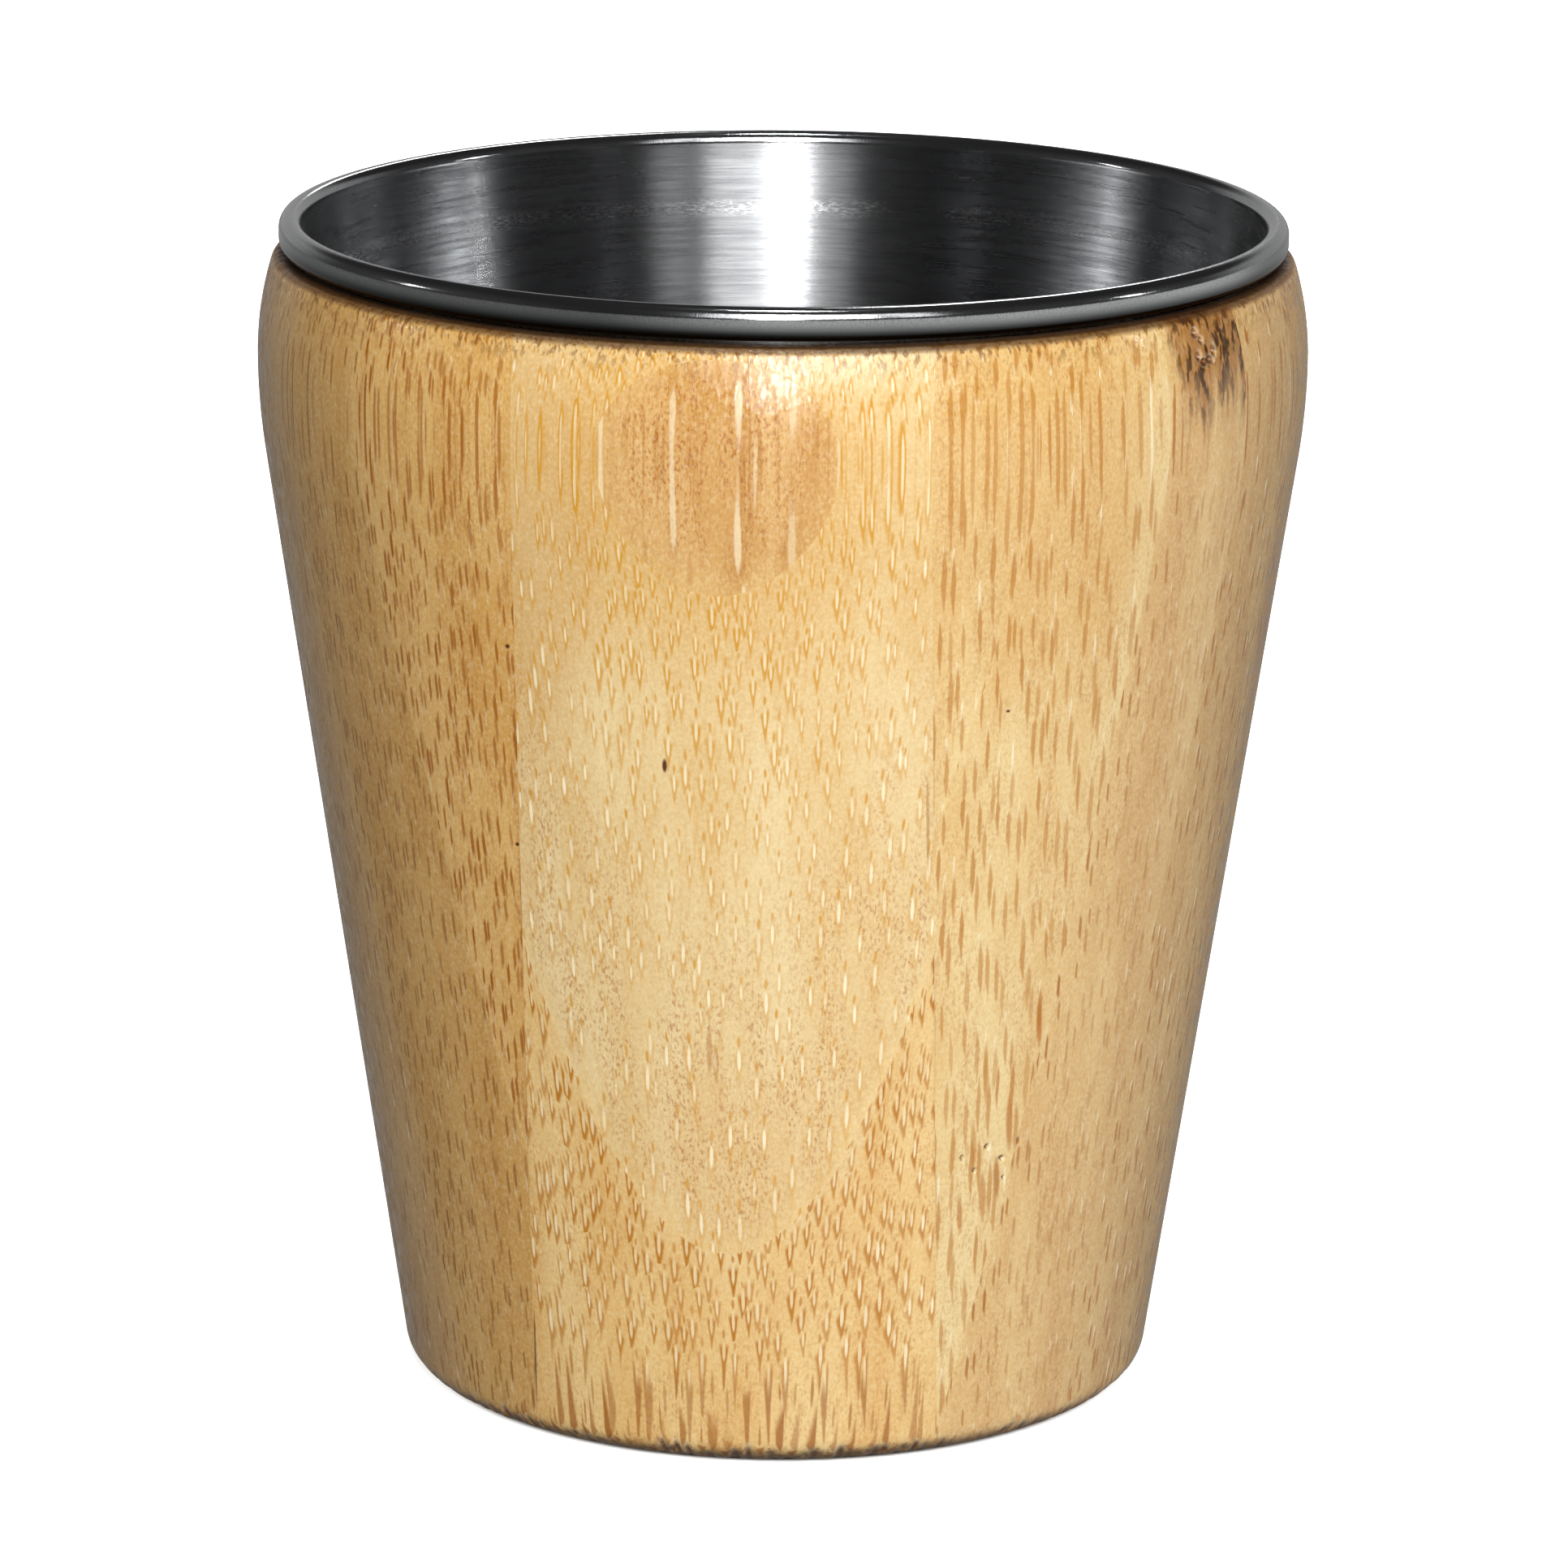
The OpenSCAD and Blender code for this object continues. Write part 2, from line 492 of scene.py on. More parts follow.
    def knot_share(self, paint: Paint, place: Signal) -> Signal:
        """The knot's soft band about its height, with a streaky edge.

        Args:
            paint: the material's nodes.
            place: place in millimetres.

        Returns:
            How much a place belongs to the knot.
        """
        _, y, z = paint.split(place)
        fringe = paint.noise(place, self.FRINGE, self.seed) - MIDDLE
        off = abs(z - self.knot.height) / self.knot.half + fringe * self.knot.ragged[0]
        inside = paint.smooth(y - self.front + fringe * self.knot.ragged[1], *self.knot.sets_in)
        return paint.smooth(off, *self.knot.edge) * inside

    @staticmethod
    def marked(paint: Paint, marks: Sequence[Mark], x: Signal, z: Signal, colour: Signal) -> Signal:
        """Lays marks over a colour: each one is an ellipse with a soft edge.

        Args:
            paint: the material's nodes.
            marks: the marks, lowest first.
            x: place across the strip.
            z: height.
            colour: the colour below.

        Returns:
            The colour with its marks.
        """
        for mark in marks:
            off = ((x - mark.x) / mark.half_x) ** 2 + ((z - mark.height) / mark.half_z) ** 2
            colour = paint.over(colour, mark.code, paint.smooth(off, *mark.edge) * mark.strength)
        return colour

    def bundles(self, paint: Paint, x: Signal, depth: Signal, share: Signal, low: Number) -> tuple[Signal, Signal]:
        """The section of the fibre bundles.

        Cells lie on a grid turned by 45 degrees, whose rows open up from the bark to the pith: the row number is the
        logarithm that belongs to a gap that grows in proportion to the depth. In each cell of a drop cut, a pale core
        stands at the wide end of a brown drop that tapers towards the pith, with a small brown cap on the bark side.
        The drop fades with depth and the core grows clearer. A spindle tapers both ways, below a thin pale core.

        Args:
            paint: the material's nodes.
            x: place across the strip.
            depth: distance from the bark.
            share: the same as a share of the strip's thickness.
            low: 1 near the foot, where the bundles are solid, or else 0.

        Returns:
            How much a place belongs to a sheath, and how much to a core.
        """
        widen = self.pith_gap - self.bark_gap
        gap = share * widen + self.bark_gap
        opened = paint.math("MAXIMUM", depth * (widen / self.bark_gap / self.thickness) + 1, self.LEAST_OPEN)
        row = paint.math("LOGARITHM", opened, math.e) * (self.thickness / widen) + self.seed
        column = x / self.across + self.seed * self.SEED_ACROSS
        half = math.sqrt(0.5)
        a = (column + row) * half
        b = (column - row) * half
        cells = paint.node("ShaderNodeTexVoronoi", {"voronoi_dimensions": "2D", "feature": "F1"},
                           {"Vector": paint.join(a, b, 0.0), "Scale": 1.0, "Randomness": self.cut.disorder})
        middle_a, middle_b, _ = paint.split(paint.out(cells, "Position"))
        luck, spare, third = paint.split(paint.out(cells, "Color"))
        off_a = a - middle_a
        off_b = b - middle_b
        size = paint.between(luck, *self.SIZES) * (share * self.growth + 1) * self.bundle
        u = abs((off_a + off_b) * (half * self.across)) / size
        v = (off_a - off_b) * half * gap / (size * self.tall)

        def oval(halves: tuple[float, float], up: float) -> Signal:
            """The square of the distance from an oval's middle, over its half sizes."""
            return (u / halves[0]) ** 2 + ((v + up) / halves[1]) ** 2

        deep = paint.smooth(share, self.FADE_FROM, self.fade_by)
        strength = paint.between(spare, *self.SHEATHS)
        if self.cut is Cut.SPINDLE:
            core = paint.smooth(oval(self.SPINDLE_CORE, self.SPINDLE_CORE_UP), *self.CORE_EDGE) * third
            spindle = paint.smooth(u / self.SPINDLE[0] + abs(v) / self.SPINDLE[1], *self.SPINDLE_EDGE)
            sheath = spindle * (1 - deep * self.fade) * strength
            return sheath, core * (1 - sheath)
        core = paint.smooth(oval(self.DROP_CORE, 0.0), *self.CORE_EDGE) * (1 - low)
        drop = paint.smooth(u + v * self.DROP_TAPER - self.DROP_HALF, *self.DROP_EDGE)
        drop = drop * paint.smooth(v, *self.DROP_START)
        cap = paint.smooth(oval(self.CAP, self.CAP_UP), *self.CAP_EDGE)
        sheath = paint.math("MAXIMUM", drop * (1 - deep * self.fade), cap * self.cap) * strength
        clear = paint.between(third, *self.CORES) * paint.between(deep, *self.CORES_BY_DEPTH)
        return sheath * (1 - core * self.CORE_HIDES), core * clear

    def glue_lines(self, paint: Paint, x: Signal, patchy: Signal) -> Signal:
        """How much a place belongs to the thin, broken glue line at one of the strip's two upright seams."""
        return paint.coat(paint.nearest(x, self.left, self.right), self.GLUE) * paint.smooth(patchy, *self.GLUE_PATCH)

    def ground(self, paint: Paint, place: Signal, share: Signal, fibre: Signal) -> Signal:
        """The tone between the bundles.

        Args:
            paint: the material's nodes.
            place: place in millimetres.
            share: depth as a share of the strip's thickness.
            fibre: fine lines along the fibres.

        Returns:
            The colour: straw and shade in soft upright patches, run into the neighbour's straw at a ragged edge by
            the glue lines, with fine brown dots and thin upright lines in some of the patches.
        """
        x, y, z = paint.split(place)
        dots = paint.noise(place, self.DOTS, self.seed)
        patch = paint.noise(place, self.PATCH, self.seed)
        grit = paint.noise(place, self.GRIT, self.seed)
        colour = paint.mix(paint.flecks(place, self.MOTTLE, self.seed), tone(self.straw), tone(self.shade))
        for face, neighbour in ((self.front, self.front_straw), (self.back, self.back_straw)):
            if neighbour is not None:
                ragged = abs(y - face) + (dots - MIDDLE) * self.RAGGED[0] + (patch - MIDDLE) * self.RAGGED[1]
                colour = paint.over(colour, neighbour, paint.smooth(ragged, *self.RUN_EDGE))
        colour = paint.over(colour, self.rind, paint.smooth(share, *self.RIND_DEPTH) * self.rind_strength)
        colour = self.marked(paint, self.patches, x, z, colour)
        streaks = paint.flecks(place, self.STREAKS, self.seed) * paint.smooth(patch, *self.STREAK_PATCH)
        colour = paint.over(colour, self.sheath, streaks * self.lines)
        spots = paint.smooth(dots, self.DOTS.low, self.DOTS.high) * paint.smooth(patch, *self.DOT_PATCH) * self.speckle
        spots = spots * paint.smooth(share - self.speckle_from, *self.DOT_DEPTH)
        spots = spots * paint.smooth(paint.nearest(y, self.front, self.back), *self.DOT_CLEAR)
        colour = paint.over(colour, self.brown, spots)
        colour = paint.over(colour, self.shade, paint.clamp((fibre - self.FIBRE_FROM) * self.FIBRE_SHADE))
        colour = paint.over(colour, self.brown, paint.clamp((grit - MIDDLE) * self.GRIT_DARK))
        return paint.over(colour, self.core, paint.clamp((MIDDLE - grit) * self.GRIT_PALE))

    def worn(self, paint: Paint, place: Signal, upward: Signal, end_grain: Signal, colour: Signal) -> Signal:
        """Lays wear, end grain and painted shade over a colour.

        Args:
            paint: the material's nodes.
            place: place in millimetres.
            upward: how far the face looks up.
            end_grain: how much of the fibres' ends shows.
            colour: the colour below.

        Returns:
            The colour with pale rims and torn pits at the dents, a scrappy foot, a base edge darkened as painted shade
            where it meets the floor, pores on the shoulder, dark end grain, and a top land darkened further as painted
            shade under the lip.
        """
        _, _, z = paint.split(place)
        dent = paint.out(paint.node("ShaderNodeAttribute", {"attribute_name": Turning.dent_layer}), "Fac")
        for code, share in (
                (self.core, paint.coat(dent, self.RIM) * paint.smooth(dent, *self.RIM_ENDS)),
                (self.torn, paint.coat(dent, self.PIT)),
                (self.foot, paint.coat(z, self.SCRAPPY_FOOT) * paint.flecks(place, self.SCRAPS, self.seed)),
                # painted shade: the torn brown darkens the base edge where the foot meets the floor
                (self.torn, paint.coat(z, self.BASE_EDGE_SHADE)),
                (self.torn, paint.coat(upward, self.SHOULDER) * paint.flecks(place, self.PORES, self.seed)),
                (self.end, end_grain * self.END_GRAIN.strength),
                # painted shade: the top land darkens further, over its end grain, where the lip overhangs it
                (self.land, paint.coat(upward, self.LAND_SHADE))):
            colour = paint.over(colour, code, share)
        return colour

    def material(self, name: str) -> bpy.types.Material:
        """Builds the strip's material.

        Args:
            name: the material's name.

        Returns:
            The finished material.
        """
        paint = Paint(bpy.data.materials.new(name))
        place = paint.millimetres()
        x, y, z = paint.split(place)
        drift_x, drift_y, patchy = paint.split(paint.noise(place, self.DRIFT, self.seed, "Color"))
        x_line = x + (drift_x - MIDDLE) * self.DRIFT_BY[0]
        y_line = y + (drift_y - MIDDLE) * self.DRIFT_BY[1]
        if self.settle:
            y_line = y_line + paint.math("MINIMUM", z - self.settle_below, 0.0) * self.settle
        if self.knot:
            knot = self.knot_share(paint, place)
            swirl_x, swirl_y, _ = paint.split(paint.noise(place, self.SWIRL, self.seed, "Color"))
            x_line = x_line + (swirl_x - MIDDLE) * knot * self.knot.stray[0]
            y_line = y_line + (swirl_y - MIDDLE) * knot * self.knot.stray[1]
        depth = self.depth(y_line)
        share = paint.clamp(depth / self.thickness)
        low = paint.smooth(z, self.settle_below, self.settle_below - self.SETTLE_OVER) if self.settle else 0.0
        sheath, core = self.bundles(paint, x_line, depth, share, low)
        fibre = paint.noise(place, self.FIBRE, self.seed)

        colour = self.ground(paint, place, share, fibre)
        dye = paint.over(tone(self.sheath), self.foot, low) if self.settle else tone(self.sheath)
        colour = paint.mix(sheath * self.sheath_strength, colour, dye)
        colour = paint.over(colour, self.core, core * self.core_strength)
        if self.knot:
            scorched = paint.flecks(place, self.SCORCHED, self.seed)
            colour = paint.over(colour, self.knot_brown, knot * self.knot.brown)
            colour = paint.over(colour, self.scorch, knot * scorched * self.knot.scorched)
        colour = paint.over(colour, self.glue, self.glue_lines(paint, x, patchy))
        colour = self.marked(paint, self.marks, x, z, colour)
        _, _, upward = paint.split(paint.coordinates("Normal"))
        end_grain = paint.smooth(abs(upward), self.END_GRAIN.low, self.END_GRAIN.high)
        colour = self.worn(paint, place, upward, end_grain, colour)

        ripple = paint.noise(place, self.RIPPLE, self.seed)
        ridges = paint.noise(place, self.RIDGES, self.seed)
        height = ridges * 0.7 + fibre * 0.04 + sheath * 0.12 - core * 0.08 + ripple * 0.4
        dull = paint.smooth(ripple + (fibre - MIDDLE) * 0.6, 0.6, 0.42)
        return paint.finished({
            "Base Color": colour, "Roughness": dull * 0.24 + fibre * 0.08 + end_grain * 0.2 + 0.09,
            "Normal": paint.bump(height, self.BUMP, self.RELIEF), "Specular IOR Level": self.SPECULAR})


class Wear(Enum):
    """The two surfaces of the liner's sheet: drawn and brushed round the axis, or rolled and polished."""

    BRUSHED = 0
    POLISHED = 1

    @property
    def anisotropy(self) -> float:
        """How far the brush lines draw out the gloss."""
        return 0.9 if self is Wear.BRUSHED else 0.0


@dataclass(frozen=True)
class SteelFinish:
    """Stainless steel with one kind of surface, in millimetres."""

    wear: Wear
    bright: str = "b4b5b6"
    dull: str = "66676a"
    # Painted shade: the near-black tone laid on the lip's underside, where it is tucked under
    dark: str = "0f1012"
    scuffed: str = "f4f4f4"
    # Heights over which that painted shade under the lip sets in and is full
    under: Step = (89.55, 88.45)
    scuff_z: float = 84.6
    scuff_edge: Step = (0.9, 0.1)
    across_rings: float = 9.0
    along_rings: float = 0.16
    brush_turn: float = 0.25
    bump: float = 0.25
    relief: float = 0.012

    # Kinds of noise: the first three on rings round the axis, the rest in waves per millimetre
    LINES: ClassVar[Grain] = Grain(1.0, 1.0, 1.0, 0.0, 4.0)
    BROAD: ClassVar[Grain] = Grain(1.0, 1.0, 0.09, 4.0)
    BRUSH: ClassVar[Grain] = Grain(1.0, 1.0, 0.33, 6.0, 3.0, 0.26, 0.74)
    CLOUD: ClassVar[Grain] = Grain(0.11, 0.11, 0.06, 2.0, 3.0, 0.3, 0.6)
    GRIT: ClassVar[Grain] = Grain(2.2, 2.2, 9.0, 8.0, 3.0, 0.45, 0.65)
    GRAINS: ClassVar[Grain] = Grain(8.0, 8.0, 9.0, 12.0, 2.0, 0.35, 0.7)

    def material(self, name: str) -> bpy.types.Material:
        """Builds the material of one surface.

        The brush lines are rings, because their noise depends on height plus distance from the axis, with only a
        slow change along the ring.

        Args:
            name: the material's name.

        Returns:
            The finished material.
        """
        paint = Paint(bpy.data.materials.new(name))
        place = paint.millimetres()
        x, y, z = paint.split(place)
        ring = paint.join(x * self.along_rings, y * self.along_rings, (paint.from_axis(x, y) + z) * self.across_rings)
        lines = paint.noise(ring, self.LINES)
        cloud = paint.noise(place, self.CLOUD)
        if self.wear is Wear.BRUSHED:
            colour, rough, height = self.brushed(paint, place, ring, lines, cloud)
        else:
            colour, rough, height = self.polished(paint, place, lines, cloud)
        return paint.finished({
            "Base Color": colour, "Metallic": 1.0, "Roughness": rough,
            "Normal": paint.bump(height, self.bump, self.relief),
            "Anisotropic": self.wear.anisotropy, "Anisotropic Rotation": self.brush_turn})

    def brushed(self, paint: Paint, place: Signal, ring: Signal, lines: Signal,
                cloud: Signal) -> tuple[Signal, Signal, Signal]:
        """The drawn sheet's surface: brush lines round the axis, and a ring of scuffs below the lip.

        Args:
            paint: the material's nodes.
            place: place in millimetres.
            ring: place on the rings round the axis.
            lines: fine brush lines on those rings.
            cloud: slow changes over the whole.

        Returns:
            Colour, roughness and the height of the brush lines.
        """
        _, _, z = paint.split(place)
        broad = paint.noise(ring, self.BROAD)
        brush = paint.noise(ring, self.BRUSH)
        worn = paint.smooth(brush, self.BRUSH.low, self.BRUSH.high) * 0.55 + (cloud - MIDDLE) * 0.3 + 0.15
        scuff = paint.smooth(abs(z + (cloud - MIDDLE) * 1.2 - self.scuff_z), *self.scuff_edge)
        scuff = scuff * paint.flecks(place, self.GRIT) * paint.smooth(cloud, self.CLOUD.low, self.CLOUD.high)
        colour = paint.mix(worn, tone(self.bright), tone(self.dull))
        colour = paint.over(colour, self.scuffed, scuff * 0.35)
        return colour, brush * 0.16 + broad * 0.08 + cloud * 0.05 + scuff * 0.1 + 0.11, lines + broad * 0.6

    def polished(self, paint: Paint, place: Signal, lines: Signal, cloud: Signal) -> tuple[Signal, Signal, Signal]:
        """The rolled lip's surface: fine grains on a polished ground, and painted shade, near black, where it is
        tucked under.

        Args:
            paint: the material's nodes.
            place: place in millimetres.
            lines: what is left of the brush lines.
            cloud: slow changes over the whole.

        Returns:
            Colour, roughness and the height of the grains.
        """
        _, _, z = paint.split(place)
        grains = paint.noise(place, self.GRAINS)
        # Painted shade: the lip darkens to near black below the middle of its roll, where it is tucked under
        under = paint.smooth(z + (grains - MIDDLE) * 0.2, *self.under)
        worn = paint.smooth(grains, self.GRAINS.low, self.GRAINS.high) * 0.3 + (cloud - MIDDLE) * 0.3 + lines * 0.2
        colour = paint.mix(worn, tone(self.bright), tone(self.dull))
        colour = paint.over(colour, self.dark, under * 0.96)
        return colour, grains * 0.1 + cloud * 0.05 + 0.06, grains * 1.5 + lines * 0.3


@dataclass(frozen=True)
class FloorFinish:
    """A pale, matt studio floor with a painted contact shadow: dark only close about the cup's base, where the cup
    would shut the light out.
    """

    pale: str = "fbfbfa"
    cloudy: str = "f1f1f0"
    cloudiness: float = 0.1
    # Tone of the painted contact shadow about the cup's base
    shade: str = "2a241e"
    glow: float = 0.8
    roughness: float = 0.9
    specular: float = 0.1
    # Radii within which the painted shadow is full and beyond which it has gone
    shut_r: float = 26.7 * MM
    open_r: float = 27.7 * MM

    # Noise in waves per metre
    CLOUD: ClassVar[Grain] = Grain(3.0, 3.0, 3.0, 1.0)

    def material(self, name: str) -> bpy.types.Material:
        """Builds the floor's material: matt, with a little light of its own so that it stays pale, and a painted
        shadow in its colour and its light close about the cup's base.

        Args:
            name: the material's name.

        Returns:
            The finished material.
        """
        paint = Paint(bpy.data.materials.new(name))
        place = paint.coordinates()
        x, y, _ = paint.split(place)
        colour = paint.mix(paint.noise(place, self.CLOUD) * self.cloudiness, tone(self.pale), tone(self.cloudy))
        painted_shadow = paint.smooth(paint.from_axis(x, y), self.open_r, self.shut_r)
        return paint.finished({
            "Base Color": paint.over(colour, self.shade, painted_shadow), "Roughness": self.roughness,
            "Specular IOR Level": self.specular, "Emission Color": paint.over(tone(self.pale), self.shade, painted_shadow),
            "Emission Strength": self.glow})


@dataclass(frozen=True)
class RoomFinish:
    """The soft light of the room, as greys: dark above, lighter at the flanks and behind, bright from the ground."""

    sky: tuple = (0.035, 0.035, 0.036, 1)
    flank: tuple = (0.07, 0.07, 0.071, 1)
    behind: tuple = (0.4, 0.4, 0.4, 1)
    ground_left: tuple = (0.2, 0.2, 0.198, 1)
    ground_right: tuple = (0.78, 0.78, 0.77, 1)
    ground_behind: tuple = (0.3, 0.3, 0.3, 1)
    backdrop: tuple = (1, 1, 1, 1)

    # Where each of them sets in, as parts of a direction across, in depth and up, and how far the ground's bright side
    # is turned
    flank_from: Step = (0.55, 0.95)
    behind_from: Step = (0.4, 0.8)
    behind_below: Step = (0.45, 0.3)
    ground_turn: float = 0.5
    ground_from: Step = (-0.2, 0.7)
    ground_behind_from: Step = (0.6, 0.95)
    horizon: Step = (0.02, -0.06)

    def world(self, name: str) -> bpy.types.World:
        """Builds the room's light, by direction; the camera itself sees a plain white backdrop.

        Args:
            name: the world's name.

        Returns:
            The finished world.
        """
        paint = Paint(bpy.data.worlds.new(name))
        side, depth, height = paint.split(paint.coordinates("Generated"))
        room = paint.mix(paint.smooth(abs(side), *self.flank_from), self.sky, self.flank)
        low_behind = paint.smooth(depth, *self.behind_from) * paint.smooth(height, *self.behind_below)
        room = paint.mix(low_behind, room, self.behind)
        turned = side - depth * self.ground_turn
        ground = paint.mix(paint.smooth(turned, *self.ground_from), self.ground_left, self.ground_right)
        ground = paint.mix(paint.smooth(depth, *self.ground_behind_from), ground, self.ground_behind)
        room = paint.mix(paint.smooth(height, *self.horizon), room, ground)
        seen = paint.out(paint.node("ShaderNodeLightPath"), "Is Camera Ray")
        light = paint.node("ShaderNodeBackground", inputs={"Color": paint.mix(seen, room, self.backdrop)})
        paint.node("ShaderNodeOutputWorld", inputs={"Surface": paint.out(light)})
        return paint.owner


class Section:
    """A half section through the axis, as rows of radius and height that stretches are added to."""

    def __init__(self) -> None:
        """Starts with no points."""
        self.stretches: list[np.ndarray] = []

    def line(self, start: Sequence[float], end: Sequence[float], step: float) -> None:
        """Adds a straight stretch: the start plus a share of the way to the end.

        Args:
            start: its first point.
            end: where it ends, which is left for the next stretch to add.
            step: the distance of its points.
        """
        count = max(1, round(math.dist(start, end) / step))
        share = np.arange(count)[:, None] / count
        self.stretches.append(np.array(start) + share * (np.array(end) - np.array(start)))

    def arc(self, centre: Sequence[float], radius: float, start: float, end: float, step: float) -> None:
        """Adds a round stretch: the centre plus the radius times the cosine and sine of an angle.

        Args:
            centre: the round's centre.
            radius: its radius.
            start: its first angle in radians.
            end: the angle at which it ends, which is left for the next stretch to add.
            step: the distance of its points.
        """
        count = max(1, round(abs(end - start) * radius / step))
        angle = start + (end - start) * np.arange(count) / count
        self.stretches.append(np.array(centre) + radius * np.stack([np.cos(angle), np.sin(angle)], axis=1))

    def rows(self, last: Sequence[float]) -> np.ndarray:
        """All the points, closed by the last one."""
        return np.concatenate([*self.stretches, np.array([last])])


@dataclass
class Turning:
    """A closed surface of revolution, as vertices and faces."""

    points: np.ndarray
    quads: np.ndarray
    fans: np.ndarray
    dents: Optional[np.ndarray] = None
    dent_layer: ClassVar[str] = "dent"

    @classmethod
    def from_rows(cls, rows: np.ndarray, angle: np.ndarray) -> "Turning":
        """Turns a half section about Z: x and y are the radius times the cosine and sine of the angle.

        Args:
            rows: radius and height, from the axis on the underside to the axis on the upper side.
            angle: the columns' places round the axis in radians, rising.

        Returns:
            The surface, with one vertex at each pole and its faces pointing outwards.
        """
        columns = len(angle)
        inner = rows[1:-1]
        ring_x = inner[:, None, 0] * np.cos(angle)
        ring_y = inner[:, None, 0] * np.sin(angle)
        ring_z = np.broadcast_to(inner[:, None, 1], ring_x.shape)
        body = np.stack([ring_x, ring_y, ring_z], axis=2).reshape(-1, 3)
        poles = np.array([[0, 0, rows[0, 1]], [0, 0, rows[-1, 1]]])
        points = np.concatenate([body, poles])
        index = np.arange(len(inner) * columns).reshape(len(inner), columns)
        after = np.roll(index, -1, axis=1)
        quads = np.stack([index[:-1], after[:-1], after[1:], index[1:]], axis=2).reshape(-1, 4)
        low, high = len(body), len(body) + 1
        low_fan = np.stack([np.full(columns, low), after[0], index[0]], axis=1)
        high_fan = np.stack([np.full(columns, high), index[-1], after[-1]], axis=1)
        return cls(points, quads, np.concatenate([low_fan, high_fan]))

    def mesh(self, name: str, keep: Optional[Step] = None) -> bpy.types.Mesh:
        """Puts the surface into a mesh.

        Args:
            name: the mesh's name.
            keep: a range of Y; only the faces that reach into it are kept.

        Returns:
            The mesh.
        """
        quads, fans = self.quads, self.fans
        if keep is not None:
            quads, fans = self._within(quads, keep), self._within(fans, keep)
        used, places = np.unique(np.concatenate([quads.ravel(), fans.ravel()]), return_inverse=True)
        made = bpy.data.meshes.new(name)
        made.vertices.add(len(used))
        made.vertices.foreach_set("co", self.points[used].astype(np.float32).ravel())
        made.loops.add(len(places))
        made.loops.foreach_set("vertex_index", places.astype(np.int32))
        starts = np.concatenate([np.arange(len(quads)) * 4, len(quads) * 4 + np.arange(len(fans)) * 3])
        made.polygons.add(len(starts))
        made.polygons.foreach_set("loop_start", starts.astype(np.int32))
        made.polygons.foreach_set("use_smooth", np.ones(len(starts), bool))
        made.update(calc_edges=True)
        if self.dents is not None:
            layer = made.attributes.new(self.dent_layer, "FLOAT", "POINT")
            layer.data.foreach_set("value", self.dents[used].astype(np.float32))
        made.validate()
        return made

    def _within(self, faces: np.ndarray, keep: Step) -> np.ndarray:
        """The faces that reach into a range of Y."""
        y = self.points[:, 1][faces]
        return faces[(y.max(axis=1) >= keep[0]) & (y.min(axis=1) <= keep[1])]


class Dent(NamedTuple):
    """A small pit in the turned face: degrees from the front, then height, half width, half length and depth in mm."""

    angle: float
    height: float
    width: float
    length: float
    depth: float


@dataclass(frozen=True)
class Column:
    """One column of strips between two upright seams, with its glue lines from front to back.

    Front and back are the thicknesses that turning leaves of the outermost strips.
    """

    title: str
    left: float
    right: float
    reach: float
    count: int
    front: float
    back: float
    bark: Bark
    seed: float
    seed_step: ClassVar[float] = 2.37

    @property
    def thickness(self) -> float:
        """Thickness of the strips between the outermost two."""
        return (2 * self.reach - self.front - self.back) / (self.count - 2)

    def glue_y(self, layer: int) -> float:
        """Y of the glue line behind a layer, counted from 1."""
        return self.front - self.reach + (layer - 1) * self.thickness


